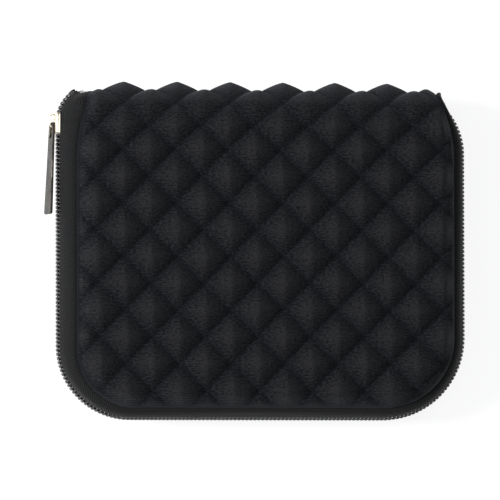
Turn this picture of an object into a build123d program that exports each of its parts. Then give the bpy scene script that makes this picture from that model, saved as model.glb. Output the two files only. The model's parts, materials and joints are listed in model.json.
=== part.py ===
from build123d import *

import os
from math import cos, radians, sin, sqrt

os.makedirs("parts", exist_ok=True)

# Travel jewellery case, closed and lying on its back. Millimetres, +Z up, lid on top, spine at +Y,
# zip opening at -Y, slider on the -X side. The base rests on the tips of its foam pyramids at z = 0.

# Overall sizes of the case
HALF_WIDTH = 76.5            # middle of the case to the zip tape, to either side
FRONT_Y = -62.85             # zip tape along the front
REAR_TUCK = 0.05             # zip tape at the rear corners, ahead of the spine's outside
FRONT_LEFT_R = 26.5
FRONT_RIGHT_R = 30.0
REAR_LEFT_R = 11.0
REAR_RIGHT_R = 25.0
SPINE_R = 12.2               # outside of the rounded spine, without its pyramids
SPINE_CENTRE_Y = 47.65
SPINE_HALF_WIDTH = 67.0
PYRAMID_H = 4.5              # foam pyramids stand this far out of the quilted cover

# Quilted foam cover
FOAM = 3.0
FLANK = 4.5                  # plan width of the sloping edge between the flat field and the seam
SEAM_INSET = 5.3             # the cover's seam lies this far inside the zip line
FLANK_H = 4.2                # the seam lies this far above the flat field
PITCH_X = 20.2               # distance between pyramids of one row
PITCH_Y = 20.5               # distance between rows of the same phase
PYRAMID_TIP = 2.6            # side of a pyramid's flat tip
PYRAMID_GAP = 0.5            # valley between two neighbouring pyramids
PYRAMID_COLUMN_X = 6.1       # one column of pyramids lies here
PYRAMID_ROW_Y = 27.2         # one row of pyramids lies here
FIELD_MARGIN = 7.5           # pyramid centres keep this far inside the flat field

# Zip
TAPE = 0.7
TAPE_UPRIGHT = 5.2           # the tape stands upright up to this far from the middle plane
COIL_HEIGHT = 3.0            # outer edge of one coil row to the middle plane
COIL_GAP = 0.6               # inner edge of one coil row and its tape to the middle plane
COIL_OUT = 1.5               # coil stands this far out of the tape
REAR_CUT = 1.5               # the zip's ends reach this far behind the fold lines
ZIP_STOP = 2.2               # length of an end stop along the tape

# Lining, board and binding
BOARD = 1.0
LINING = 0.8
BINDING_W = 2.4
BINDING_H = 1.5
BOARD_REAR = 2.0             # the stiff board ends this far before the spine's curve
RECESS_INSET = 3.2           # rim of the cover around the board

# Fold lines of the spine: the hinges lie where the unrolled spine keeps its length
FOLD_SHARE = 0.785           # a quarter of pi, as a share of the spine's radius
FOLD_ANGLE = 45.0
FOLD_GAP_ANGLE = 1.5         # half of the gap at a fold line, seen from the spine's centre
NOSE_TIP_ROOT = 13.0         # root of a pyramid on the spine, corner to corner

# Slider and pull tab
SLIDER_Y = 47.6
SLIDER_LENGTH = 8.0
SLIDER_FRONT_W = 7.8
SLIDER_REAR_W = 8.8
SLIDER_CLEAR = 0.25          # slider to coil
SLIDER_PLATE = 0.7
SLIDER_INNER_CLEAR = 0.75    # inner plate to the tape, enough for the start of the corner
SLIDER_WEB = 0.6             # web between the coil rows
WEB_LENGTH = 3.4
FLANGE_CLEAR = 0.3
BRIDGE_W = 1.7
BRIDGE_T = 0.6
BRIDGE_FRONT = 1.7           # front foot of the bridge, ahead of the slider's middle
BRIDGE_REAR = 3.8            # rear foot of the bridge, behind the slider's middle
BAR_D = 0.9
BAR_CLEAR = 0.2
TAB_LENGTH = 29.0            # solid plate below the window
TAB_WINDOW = 5.4
TAB_TOP_W = 5.2
TAB_END_W = 8.8
TAB_WINDOW_W = 2.9
TAB_TILT = 2.5               # the tab hangs this many degrees out of the case's side
ENGAGED_MARGIN = 1.4         # the coil held in the slider is this much longer at each end
ENGAGED_CLEAR = 0.05         # and keeps this far off the lid's tape

# Fittings inside
FIT_GAP = 0.3                # clearance between neighbours that move apart
FITTING_INSET = 9.0          # fittings keep this far inside the zip line
ROLL_R = 5.2
ROLL_COUNT = 3
ROLL_SPACING = 0.4
DIVIDER_T = 3.5
DIVIDER_H = 7.4
TRAY_SPLIT_Y = -12.0
TRAY_SPLIT_X = 24.0
FITTING_REAR_Y = 44.0
POCKET_DEPTH = 5.8
POCKET_WALL = 0.8
POCKET_REAR_Y = -8.0
POCKET_CORNER_R = 18.0
POCKET_HEM = 2.2
STRAP_COUNT = 4
STRAP_W = 10.0
STRAP_T = 1.0
STRAP_FRONT_Y = -2.0
STRAP_LENGTH = 40.0
STRAP_FOOT = 5.0
SNAP_R = 4.0
SNAP_T = 0.8
SNAP_FROM_END = 5.5
TACK_T = 1.0

# Worked out from the sizes above
MID_Z = PYRAMID_H + SPINE_R
FIELD_Z = PYRAMID_H
SEAM_Z = FIELD_Z + FLANK_H
REAR_Y = SPINE_CENTRE_Y + SPINE_R - REAR_TUCK
FLOOR_Z = FIELD_Z + FOAM + BOARD + LINING
COIL_X = HALF_WIDTH + COIL_OUT
PLATE_X = COIL_X + SLIDER_CLEAR + SLIDER_PLATE
BAR_X = PLATE_X + BAR_CLEAR + BAR_D / 2
BRIDGE_X = BAR_X + BAR_D / 2 + BAR_CLEAR + BRIDGE_T
TAB_REACH = TAB_WINDOW + TAB_LENGTH
TAB_X = BAR_X + TAB_REACH * sin(radians(TAB_TILT)) + BAR_D / 2
CASE_X = (max(TAB_X, BRIDGE_X) - COIL_X) / 2     # puts the middle of everything at x = 0
LEFT = CASE_X - HALF_WIDTH
FOLD_Y = SPINE_CENTRE_Y + FOLD_SHARE * SPINE_R
FOLD_Z = MID_Z - FOLD_SHARE * SPINE_R
ZIP_END_Y = FOLD_Y + REAR_CUT
MIN_CORNER_R = 0.8


def export(shape, name):
    """Names a sub-part and writes its STEP file."""
    shape.label = name
    export_step(shape, f"parts/{name}.step")


def box(x0, x1, y0, y1, z0, z1):
    """A block given by its lowest and highest coordinates."""
    centre = ((x0 + x1) / 2, (y0 + y1) / 2, (z0 + z1) / 2)
    return Pos(*centre) * Box(x1 - x0, y1 - y0, z1 - z0)


def group(solids):
    """Separate solids kept together in one sub-part."""
    return Compound(children=[s for shape in solids for s in shape.solids()])


def to_lid(shape):
    """The lid's copy of a piece of the base, mirrored in the middle plane."""
    return mirror(shape, about=Plane(origin=(0, 0, MID_Z), z_dir=(0, 0, 1)))


def outline(inset, z):
    """Plan of the case, drawn in from the zip line by an inset, as a face at one height."""
    left, right = LEFT + inset, CASE_X + HALF_WIDTH - inset
    front, rear = FRONT_Y + inset, REAR_Y - inset
    fl, fr, rr, rl = (
        max(radius - inset, MIN_CORNER_R)
        for radius in (FRONT_LEFT_R, FRONT_RIGHT_R, REAR_RIGHT_R, REAR_LEFT_R)
    )
    edges = [
        Line((left + fl, front), (right - fr, front)),
        CenterArc((right - fr, front + fr), fr, -90, 90),
        Line((right, front + fr), (right, rear - rr)),
        CenterArc((right - rr, rear - rr), rr, 0, 90),
        Line((right - rr, rear), (left + rl, rear)),
        CenterArc((left + rl, rear - rl), rl, 90, 90),
        Line((left, rear - rl), (left, front + fl)),
        CenterArc((left + fl, front + fl), fl, 180, 90),
    ]
    return Pos(0, 0, z) * make_face(edges)


def slab(low_inset, low_z, high_inset, high_z):
    """The case's plan, filled between two heights, with an inset at each."""
    return loft([outline(low_inset, low_z), outline(high_inset, high_z)], ruled=True)


def spine_band(outer_r, inner_r, start, end):
    """Part of the rounded spine: angles run from straight down (0) over the rear (90) to up (180)."""
    centre = (SPINE_CENTRE_Y, MID_Z)

    def point(radius, angle):
        return (
            centre[0] + radius * sin(radians(angle)),
            centre[1] - radius * cos(radians(angle)),
        )

    edges = [
        CenterArc(centre, outer_r, start - 90, end - start),
        Line(point(outer_r, end), point(inner_r, end)),
        CenterArc(centre, inner_r, start - 90, end - start),
        Line(point(inner_r, start), point(outer_r, start)),
    ]
    face = Plane.YZ.offset(CASE_X) * make_face(edges)
    return extrude(face, amount=SPINE_HALF_WIDTH, both=True)


def spine_notch():
    """The space behind the flat cover that belongs to the spine."""
    reach = SPINE_HALF_WIDTH + FIT_GAP
    return box(CASE_X - reach, CASE_X + reach, SPINE_CENTRE_Y, REAR_Y + SPINE_R,
               -SPINE_R, 2 * MID_Z + SPINE_R)


def pyramid(half_x, half_y, height):
    """A foam pyramid with its corners on the x and y axes and a small flat tip, pointing up."""
    root = make_face(Polyline((half_x, 0), (0, half_y), (-half_x, 0), (0, -half_y), close=True))
    tip_x = PYRAMID_TIP / sqrt(2)
    tip = make_face(Polyline((tip_x, 0), (0, tip_x), (-tip_x, 0), (0, -tip_x), close=True))
    return loft([root, Pos(0, 0, height) * tip], ruled=True)


def lattice():
    """Places of the pyramids on the flat field: two interleaved grids, half a pitch apart."""
    margin = SEAM_INSET + FLANK + FIELD_MARGIN
    left, right = LEFT + margin, CASE_X + HALF_WIDTH - margin
    front, rear = FRONT_Y + margin, SPINE_CENTRE_Y - FIELD_MARGIN / 2
    places = []
    for phase in (0, 0.5):
        columns = int(2 * HALF_WIDTH / PITCH_X) + 1
        rows = int((rear - front) / PITCH_Y) + 3
        for i in range(-columns, columns):
            for j in range(-rows, rows):
                x = CASE_X + PYRAMID_COLUMN_X + (i + phase) * PITCH_X
                y = PYRAMID_ROW_Y + (j + phase) * PITCH_Y
                corner = min(x - left, right - x) + min(y - front, FRONT_RIGHT_R)
                if left <= x <= right and front <= y <= rear and corner > FIELD_MARGIN:
                    places.append((x, y))
    return places


def cover():
    """Quilted foam cover of the base: dish, rounded start of the spine and a field of pyramids."""
    dish = slab(SEAM_INSET + FLANK, FIELD_Z, SEAM_INSET, SEAM_Z)
    recess_inset = SEAM_INSET + RECESS_INSET
    dish -= slab(recess_inset, FIELD_Z + FOAM, recess_inset, SEAM_Z + FOAM)
    dish -= spine_notch()
    dish += spine_band(SPINE_R, SPINE_R - FOAM, 0, FOLD_ANGLE - FOLD_GAP_ANGLE)
    bump = pyramid((PITCH_X - PYRAMID_GAP) / 2, (PITCH_Y - PYRAMID_GAP) / 2, PYRAMID_H)
    bump = Rot(180, 0, 0) * bump
    return dish + [Pos(x, y, FIELD_Z) * bump for x, y in lattice()]


def spine_cover():
    """Middle third of the spine, with one row of pyramids along its back."""
    start = FOLD_ANGLE + FOLD_GAP_ANGLE
    band = spine_band(SPINE_R, SPINE_R - FOAM, start, 180 - start)
    bump = pyramid((PITCH_X - PYRAMID_GAP) / 2, NOSE_TIP_ROOT / 2, PYRAMID_H + FOAM / 2)
    bump = Rot(-90, 0, 0) * bump
    root_y = SPINE_CENTRE_Y + SPINE_R - FOAM / 2
    reach = SPINE_HALF_WIDTH - PITCH_X / 2
    first = -int((reach + PYRAMID_COLUMN_X) / PITCH_X)
    last = int((reach - PYRAMID_COLUMN_X) / PITCH_X)
    columns = [PYRAMID_COLUMN_X + k * PITCH_X for k in range(first, last + 1)]
    return band + [Pos(CASE_X + x, root_y, MID_Z) * bump for x in columns]


def board():
    """Stiff board on the foam, ending before the spine."""
    inset = SEAM_INSET + RECESS_INSET
    low = FIELD_Z + FOAM
    plate = slab(inset, low, inset, low + BOARD)
    reach = HALF_WIDTH + CASE_X
    return plate - box(-reach, reach, SPINE_CENTRE_Y - BOARD_REAR, REAR_Y, 0, MID_Z)


def lining():
    """Lining over the board, following the spine's inside as far as the fold line."""
    inset = SEAM_INSET + RECESS_INSET
    low = FIELD_Z + FOAM + BOARD
    reach = HALF_WIDTH + CASE_X
    sheet = slab(inset, low, inset, FLOOR_Z)
    sheet -= box(-reach, reach, SPINE_CENTRE_Y, REAR_Y, 0, MID_Z)
    drop = slab(inset, low - BOARD, inset, low)
    drop &= box(-reach, reach, SPINE_CENTRE_Y - BOARD_REAR, SPINE_CENTRE_Y, 0, MID_Z)
    inner_r = SPINE_R - FOAM
    curve = spine_band(inner_r, inner_r - BOARD, 0, FOLD_ANGLE - FOLD_GAP_ANGLE)
    return sheet + drop + curve


def tape():
    """One half of the zip tape: sewn to the cover's seam, sloping out, then upright to the coil."""
    bend_z = MID_Z - TAPE_UPRIGHT
    edge_z = MID_Z - COIL_GAP
    skirt = slab(SEAM_INSET, SEAM_Z, 0, bend_z) - slab(SEAM_INSET + TAPE, SEAM_Z, TAPE, bend_z)
    upright = slab(0, bend_z, 0, edge_z) - slab(TAPE, bend_z, TAPE, edge_z)
    return (skirt + upright) - zip_gap()


def zip_gap():
    """What is cut from the zip at the rear: the spine's width, and all behind the zip's ends."""
    far = HALF_WIDTH + abs(CASE_X) + COIL_OUT
    return spine_notch() + box(-far, far, ZIP_END_Y, REAR_Y + SPINE_R, -SPINE_R, 2 * MID_Z + SPINE_R)


def coil():
    """One coil row as a plain band on the outside of the tape."""
    low, high = MID_Z - COIL_HEIGHT, MID_Z - COIL_GAP
    return slab(-COIL_OUT, low, -COIL_OUT, high) - slab(0, low, 0, high) - zip_gap()


def engaged_zone(margin):
    """The stretch of coil that the slider holds while it is parked at the rear."""
    half = SLIDER_LENGTH / 2 + margin
    return box(LEFT - 2 * COIL_OUT, LEFT + 2 * COIL_OUT, SLIDER_Y - half, SLIDER_Y + half, MID_Z, 2 * MID_Z)


def coil_in_slider(lid_row):
    """The lid's coil in the parked slider, flat on its inner side so that the lid's tape slides past it."""
    held = lid_row & engaged_zone(ENGAGED_MARGIN - FIT_GAP)
    return held - box(LEFT - ENGAGED_CLEAR, CASE_X, FRONT_Y, REAR_Y, MID_Z, 2 * MID_Z)


def binding():
    """Binding that covers the inner edge of the seam."""
    inner = SEAM_INSET + RECESS_INSET
    outer = inner - BINDING_W
    strip = slab(outer, SEAM_Z, outer, SEAM_Z + BINDING_H) - slab(inner, SEAM_Z, inner, SEAM_Z + BINDING_H)
    return strip - zip_gap()


def zip_stops():
    """Metal stops at the two ends of one coil row, sitting on the ends of the tape."""
    left_end = box(-2 * HALF_WIDTH, CASE_X, ZIP_END_Y - ZIP_STOP, ZIP_END_Y, 0, MID_Z)
    spine_side = CASE_X + SPINE_HALF_WIDTH + FIT_GAP
    right_end = box(spine_side, spine_side + ZIP_STOP, SPINE_CENTRE_Y, REAR_Y, 0, MID_Z)
    return coil() & (left_end + right_end)


def slider_body():
    """Two plates round the chain, joined by a thin web between the coil rows, with side flanges."""
    front, rear = SLIDER_Y - SLIDER_LENGTH / 2, SLIDER_Y + SLIDER_LENGTH / 2
    plan = Polyline(
        (front, MID_Z - SLIDER_FRONT_W / 2),
        (rear, MID_Z - SLIDER_REAR_W / 2),
        (rear, MID_Z + SLIDER_REAR_W / 2),
        (front, MID_Z + SLIDER_FRONT_W / 2),
        close=True,
    )
    plan = fillet(make_face(plan).vertices(), SLIDER_FRONT_W / 5)
    outer_x = CASE_X - PLATE_X
    channel_x = outer_x + SLIDER_PLATE
    flange_x = LEFT - FLANGE_CLEAR
    inner_x = LEFT + TAPE + SLIDER_INNER_CLEAR
    block = extrude(Plane.YZ.offset(outer_x) * plan, amount=flange_x - outer_x)
    half = COIL_HEIGHT + FLANGE_CLEAR
    block -= box(channel_x, flange_x, front, rear, MID_Z - half, MID_Z + half)
    inner = extrude(Plane.YZ.offset(inner_x) * plan, amount=SLIDER_PLATE)
    web_x = inner_x + SLIDER_PLATE / 2
    web = box(channel_x - SLIDER_PLATE / 2, web_x, rear - WEB_LENGTH, rear - SLIDER_PLATE,
              MID_Z - SLIDER_WEB / 2, MID_Z + SLIDER_WEB / 2)
    return block + inner + web


def slider_bridge():
    """Bridge over the slider that holds the tab's bar: two feet and a bar between them."""
    plate_x = CASE_X - PLATE_X
    top_x = CASE_X - BRIDGE_X
    front, rear = SLIDER_Y - BRIDGE_FRONT, SLIDER_Y + BRIDGE_REAR
    z0, z1 = MID_Z - BRIDGE_W / 2, MID_Z + BRIDGE_W / 2
    arch = box(top_x, plate_x, front, rear, z0, z1)
    arch = fillet(arch.edges().filter_by(Axis.Z).group_by(Axis.X)[0], 2 * BRIDGE_T)
    hollow = box(top_x + BRIDGE_T, plate_x, front + BRIDGE_T, rear - BRIDGE_T, z0, z1)
    return arch - fillet(hollow.edges().filter_by(Axis.Z).group_by(Axis.X)[0], BRIDGE_T)


def pull_tab():
    """Tapered pull tab: a round bar under the bridge, a window round the bridge, then the plate."""
    half_t = BAR_D / 2
    top, end = TAB_TOP_W / 2, TAB_END_W / 2
    plan = make_face(Polyline((0, -top), (0, top), (-TAB_REACH, end), (-TAB_REACH, -end), close=True))
    ends = plan.vertices().group_by(Axis.X)[0]
    plan = fillet(ends, TAB_END_W / 8)
    plate = extrude(Plane.YZ * plan, amount=half_t, both=True)
    half_w = TAB_WINDOW_W / 2
    plate -= box(-half_t, half_t, -TAB_WINDOW, BAR_D, -half_w, half_w)
    bar = Cylinder(half_t, TAB_TOP_W)
    tab = plate + bar
    return Pos(CASE_X - BAR_X, SLIDER_Y, MID_Z) * (Rot(0, 0, -TAB_TILT) * tab)


def fitting_front(x):
    """Front limit of the fittings at one x, following the rounded front corner on the left."""
    radius = FRONT_LEFT_R - FITTING_INSET
    across = max(LEFT + FRONT_LEFT_R - x, 0)
    return FRONT_Y + FRONT_LEFT_R - sqrt(max(radius ** 2 - across ** 2, 0))


def ring_roll(index):
    """One padded roll that rings are pushed between, lying along the case."""
    pitch = 2 * ROLL_R + ROLL_SPACING
    x = LEFT + FITTING_INSET + ROLL_R + index * pitch
    y0, y1 = fitting_front(x - ROLL_R / 2), FITTING_REAR_Y
    roll = Pos(x, (y0 + y1) / 2, FLOOR_Z + ROLL_R) * (Rot(90, 0, 0) * Cylinder(ROLL_R, y1 - y0))
    roll = fillet(roll.edges(), ROLL_R / 3)
    return roll - box(x - ROLL_R, x + ROLL_R, y0, y1, 0, FLOOR_Z + ROLL_SPACING / 2)


def rolls_right():
    """Right side of the ring rolls, where the first divider stands."""
    return LEFT + FITTING_INSET + ROLL_COUNT * (2 * ROLL_R + ROLL_SPACING)


def divider_beside_rolls():
    """Padded divider between the ring rolls and the compartments."""
    x0 = rolls_right() + FIT_GAP
    return box(x0, x0 + DIVIDER_T, FRONT_Y + FITTING_INSET, FITTING_REAR_Y, FLOOR_Z, FLOOR_Z + DIVIDER_H)


def divider_across():
    """Padded divider across the compartments."""
    x0 = rolls_right() + FIT_GAP + DIVIDER_T
    x1 = CASE_X + HALF_WIDTH - FITTING_INSET
    return box(x0, x1, TRAY_SPLIT_Y - DIVIDER_T, TRAY_SPLIT_Y, FLOOR_Z, FLOOR_Z + DIVIDER_H)


def divider_rear():
    """Padded divider that splits the rear compartment."""
    x0 = CASE_X + TRAY_SPLIT_X
    return box(x0, x0 + DIVIDER_T, TRAY_SPLIT_Y, FITTING_REAR_Y, FLOOR_Z, FLOOR_Z + DIVIDER_H)


def pocket_block(inset, top_z, bottom_z):
    """Plan of the lid's pocket, drawn in by an inset, between two heights."""
    x0 = rolls_right() + 2 * DIVIDER_T + inset
    x1 = CASE_X + HALF_WIDTH - FITTING_INSET - POCKET_WALL - inset
    y0, y1 = FRONT_Y + FITTING_INSET + POCKET_WALL + inset, POCKET_REAR_Y
    block = box(x0, x1, y0, y1, bottom_z, top_z)
    corners = block.edges().filter_by(Axis.Z).group_by(Axis.Y)[0]
    return fillet(corners, POCKET_CORNER_R - inset)


def lid_ceiling():
    """Height of the lining inside the lid."""
    return 2 * MID_Z - FLOOR_Z


def lid_pocket():
    """Pocket in the lid, open towards the spine."""
    top = lid_ceiling()
    low = top - POCKET_DEPTH
    hollow = pocket_block(POCKET_WALL, top, low + POCKET_WALL)
    hollow += Pos(0, POCKET_WALL, 0) * hollow
    return pocket_block(0, top, low) - hollow


def pocket_hem():
    """Elastic hem along the pocket's mouth."""
    low = lid_ceiling() - POCKET_DEPTH
    block = pocket_block(0, low + POCKET_WALL, low)
    ends = block.bounding_box()
    return box(ends.min.X, ends.max.X, POCKET_REAR_Y, POCKET_REAR_Y + POCKET_HEM, low, low + POCKET_WALL)


def strap_x(index):
    """Middle of one necklace strap."""
    x0 = rolls_right() + 2 * DIVIDER_T
    x1 = CASE_X + HALF_WIDTH - FITTING_INSET
    return x0 + (index + 0.5) * (x1 - x0) / STRAP_COUNT


def necklace_strap(index):
    """Flat strap on the lid's lining, sewn down at its front end and snapped shut at its rear end."""
    x, top = strap_x(index), lid_ceiling() - SNAP_T
    x0, x1 = x - STRAP_W / 2, x + STRAP_W / 2
    strap = box(x0, x1, STRAP_FRONT_Y, STRAP_FRONT_Y + STRAP_LENGTH, top - STRAP_T, top)
    ends = strap.edges().filter_by(Axis.Z).group_by(Axis.Y)[-1]
    strap = fillet(ends, STRAP_W / 3)
    return strap + box(x0, x1, STRAP_FRONT_Y, STRAP_FRONT_Y + STRAP_FOOT, top, lid_ceiling())


def snaps(top_z):
    """One row of press-stud halves, one at the end of each necklace strap."""
    y = STRAP_FRONT_Y + STRAP_LENGTH - SNAP_FROM_END
    disc = Cylinder(SNAP_R, SNAP_T)
    return group([Pos(strap_x(k), y, top_z - SNAP_T / 2) * disc for k in range(STRAP_COUNT)])


def spine_tacks():
    """Bar tacks that close the spine's side edges, one at each end of the case."""
    inner_r = SPINE_R - FOAM
    band = spine_band(inner_r - BOARD, inner_r - BOARD - TACK_T, FOLD_ANGLE + 15, 135 - 15)
    reach = SPINE_HALF_WIDTH - 2 * TACK_T
    return band - box(CASE_X - reach, CASE_X + reach, SPINE_CENTRE_Y, REAR_Y, 0, 2 * MID_Z)


def main():
    """Builds every sub-part and writes it."""
    base_row = coil()
    lid_row = to_lid(base_row - zip_stops())
    start = FOLD_ANGLE + FOLD_GAP_ANGLE
    inner_r = SPINE_R - FOAM
    parts = {
        "base_cover": cover(),
        "base_board": board(),
        "base_lining": lining(),
        "base_binding": binding(),
        "base_tape": tape(),
        "base_coil": base_row - zip_stops(),
        "base_zip_stops": zip_stops(),
        "coil_in_slider": coil_in_slider(lid_row),
        "divider_beside_rolls": divider_beside_rolls(),
        "divider_across": divider_across(),
        "divider_rear": divider_rear(),
        "spine_cover": spine_cover(),
        "spine_lining": spine_band(inner_r, inner_r - BOARD, start, 180 - start),
        "spine_bar_tacks": spine_tacks(),
        "lid_cover": to_lid(cover()),
        "lid_board": to_lid(board()),
        "lid_lining": to_lid(lining()),
        "lid_binding": to_lid(binding()),
        "lid_tape": to_lid(tape()),
        "lid_coil": lid_row - engaged_zone(ENGAGED_MARGIN),
        "lid_zip_stops": to_lid(zip_stops()),
        "lid_pocket": lid_pocket(),
        "lid_pocket_hem": pocket_hem(),
        "strap_snap_sockets": snaps(lid_ceiling()),
        "strap_snap_caps": snaps(lid_ceiling() - SNAP_T - STRAP_T),
        "slider_body": slider_body(),
        "slider_bridge": slider_bridge(),
        "pull_tab": pull_tab(),
    }
    for index in range(ROLL_COUNT):
        parts[f"ring_roll_{index + 1}"] = ring_roll(index)
    for index in range(STRAP_COUNT):
        parts[f"necklace_strap_{index + 1}"] = necklace_strap(index)
    for name, shape in parts.items():
        export(shape, name)
    print("case middle x", round(CASE_X, 3), "fold lines y", round(FOLD_Y, 3), "z", round(FOLD_Z, 3),
          round(2 * MID_Z - FOLD_Z, 3))
    print("tab bar x", round(CASE_X - BAR_X, 3), "height", round(2 * MID_Z, 3))


main()
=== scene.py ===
import json
import logging
import math
from collections.abc import Sequence
from dataclasses import dataclass, field
from enum import Enum

import bpy
import numpy as np
from mathutils import Matrix, Quaternion, Vector


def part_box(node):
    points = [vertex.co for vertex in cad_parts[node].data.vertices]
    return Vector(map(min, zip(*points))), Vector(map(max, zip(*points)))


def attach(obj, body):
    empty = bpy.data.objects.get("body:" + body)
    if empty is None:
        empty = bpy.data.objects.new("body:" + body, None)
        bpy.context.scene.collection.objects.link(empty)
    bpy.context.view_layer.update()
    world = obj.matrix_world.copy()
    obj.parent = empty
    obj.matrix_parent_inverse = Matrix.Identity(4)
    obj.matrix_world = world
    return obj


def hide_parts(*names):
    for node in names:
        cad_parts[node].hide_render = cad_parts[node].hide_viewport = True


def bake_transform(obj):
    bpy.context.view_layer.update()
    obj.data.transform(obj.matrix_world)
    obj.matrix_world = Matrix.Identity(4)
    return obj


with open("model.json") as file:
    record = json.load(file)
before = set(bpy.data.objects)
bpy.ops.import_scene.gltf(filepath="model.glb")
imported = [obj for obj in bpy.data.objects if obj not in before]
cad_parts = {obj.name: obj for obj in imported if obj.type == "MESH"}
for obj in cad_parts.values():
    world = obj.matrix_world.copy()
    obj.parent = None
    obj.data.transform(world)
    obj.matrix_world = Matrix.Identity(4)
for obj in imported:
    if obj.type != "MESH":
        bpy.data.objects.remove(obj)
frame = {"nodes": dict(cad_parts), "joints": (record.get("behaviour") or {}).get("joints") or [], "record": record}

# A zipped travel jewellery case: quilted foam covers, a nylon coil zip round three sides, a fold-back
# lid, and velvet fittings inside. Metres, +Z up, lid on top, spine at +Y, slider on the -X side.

Array = np.ndarray
Colour = tuple[float, float, float]
log = logging.getLogger("jewellery_case")
MM = 0.001
CLOTH_UNIT = 0.01     # one unit of the cloth coordinates is a centimetre of cloth


class Half(Enum):
    """The two halves that the zip joins, with the side of the middle plane that each lies on."""

    LID = 1.0
    BASE = -1.0

    @property
    def body(self) -> str:
        """Name of the rigid body that this half is."""
        return self.name.lower()


# ---------------------------------------------------------------- numbers and meshes


def ease(t: Array | float) -> Array:
    """Smooth step: 3 t^2 - 2 t^3, with t held between 0 and 1."""
    t = np.clip(t, 0.0, 1.0)
    return t * t * (3.0 - 2.0 * t)


def bell(t: Array, middle: float, width: float) -> Array:
    """Gaussian bell: exp(-((t - middle) / width)^2 / 2)."""
    return np.exp(-(((t - middle) / width) ** 2) / 2)


def unit(v: Array) -> Array:
    """Vectors scaled to length one along the last axis."""
    return v / np.maximum(np.linalg.norm(v, axis=-1, keepdims=True), 1e-12)


def grid_quads(rows: int, columns: int, wrap_rows: bool = False, wrap_columns: bool = False,
               first: int = 0) -> Array:
    """Quads between neighbours of a grid of points.

    Args:
        rows: Number of rows of points.
        columns: Number of points in a row.
        wrap_rows: Joins the last row to the first.
        wrap_columns: Joins the end of each row to its start.
        first: Index of the grid's first point.

    Returns:
        An array of four point numbers for each quad.
    """
    r = np.arange(rows if wrap_rows else rows - 1)[:, None]
    c = np.arange(columns if wrap_columns else columns - 1)[None, :]
    r2, c2 = (r + 1) % rows, (c + 1) % columns
    corners = (r * columns + c, r * columns + c2, r2 * columns + c2, r2 * columns + c)
    return np.stack([a.ravel() for a in np.broadcast_arrays(*corners)], axis=1) + first


def surface_normals(grid: Array) -> Array:
    """Unit normals of a grid of points: the cross product of its differences along columns and rows."""
    return unit(np.cross(np.gradient(grid, axis=1), np.gradient(grid, axis=0)))


@dataclass
class Shape:
    """Points, quads and end caps of one closed surface, with a cloth coordinate for each point."""

    points: Array
    quads: Array
    caps: list[list[int]] = field(default_factory=list)
    cloth: Array | None = None
    # Painted shade for the knit at each point, kept in the attribute "stretch".
    stretch: Array | None = None

    def flipped(self) -> "Shape":
        """The same surface turned inside out."""
        return Shape(self.points, self.quads[:, ::-1], [c[::-1] for c in self.caps], self.cloth, self.stretch)

    def joined(self, *others: "Shape") -> "Shape":
        """This surface and others as one.

        Args:
            *others: Surfaces that keep their own points.

        Returns:
            One shape with all points and faces.
        """
        whole = self
        for other in others:
            n = len(whole.points)
            cloth = None
            if whole.cloth is not None and other.cloth is not None:
                cloth = np.concatenate([whole.cloth, other.cloth])
            caps = whole.caps + [[i + n for i in c] for c in other.caps]
            whole = Shape(np.concatenate([whole.points, other.points]),
                          np.concatenate([whole.quads, other.quads + n]), caps, cloth)
        return whole


def closed_sheet(top: Array, bottom: Array, cloth: Array | None = None) -> Shape:
    """A closed skin between two grids of points of the same size.

    The upper grid keeps its order, the lower one is reversed, and four strips of quads join their edges.

    Args:
        top: Points (rows, columns, 3) of the outer face, whose row x column cross product points out.
        bottom: Points of the inner face.
        cloth: Cloth coordinates (rows, columns, 2), in metres, for both faces.

    Returns:
        The closed shape.
    """
    rows, columns = top.shape[:2]
    n = rows * columns
    index = np.arange(n).reshape(rows, columns)
    faces = grid_quads(rows, columns)
    edges = [index[0, :], index[:, -1], index[-1, ::-1], index[::-1, 0]]
    strips = [np.stack([e[1:], e[:-1], e[:-1] + n, e[1:] + n], axis=1) for e in edges]
    quads = np.concatenate([faces, faces[:, ::-1] + n] + strips)
    points = np.concatenate([top.reshape(-1, 3), bottom.reshape(-1, 3)])
    both = None if cloth is None else np.tile(cloth.reshape(-1, 2), (2, 1))
    return Shape(points, quads, cloth=both)


def tube(rings: Array) -> Shape:
    """A closed skin through rings of points, with a flat cap at each end.

    Args:
        rings: Points (stations, points in a ring, 3), each ring anticlockwise seen against the path.

    Returns:
        The closed shape.
    """
    n, m = rings.shape[:2]
    caps = [list(range(m))[::-1], list(range((n - 1) * m, n * m))]
    return Shape(rings.reshape(-1, 3), grid_quads(n, m, wrap_columns=True), caps)


def superellipse(count: int, half_a: float, half_b: float, power: float) -> Array:
    """Rounded rectangle |x/a|^p + |y/b|^p = 1 as points (count, 2), anticlockwise."""
    t = 2 * np.pi * np.arange(count) / count
    c, s = np.cos(t), np.sin(t)
    return np.stack([half_a * np.sign(c) * np.abs(c) ** (2 / power),
                     half_b * np.sign(s) * np.abs(s) ** (2 / power)], axis=1)


def placed_copies(shape: Shape, origins: Array, axes: Array) -> Shape:
    """Copies of a small shape at many places.

    A copy's points are origin + a * axis0 + b * axis1 + c * axis2, for the small shape's (a, b, c).

    Args:
        shape: The small shape.
        origins: Places (n, 3).
        axes: Three axes (n, 3, 3) for each place.

    Returns:
        All copies as one shape.
    """
    m = len(shape.points)
    points = origins[:, None, :] + np.einsum("pk,nkd->npd", shape.points, axes)
    shift = (np.arange(len(origins)) * m)[:, None, None]
    quads = (shape.quads[None] + shift).reshape(-1, 4)
    caps = [[i + k * m for i in cap] for k in range(len(origins)) for cap in shape.caps]
    whole = Shape(points.reshape(-1, 3), quads, caps)
    return whole.flipped() if np.linalg.det(axes[0]) < 0 else whole


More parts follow.
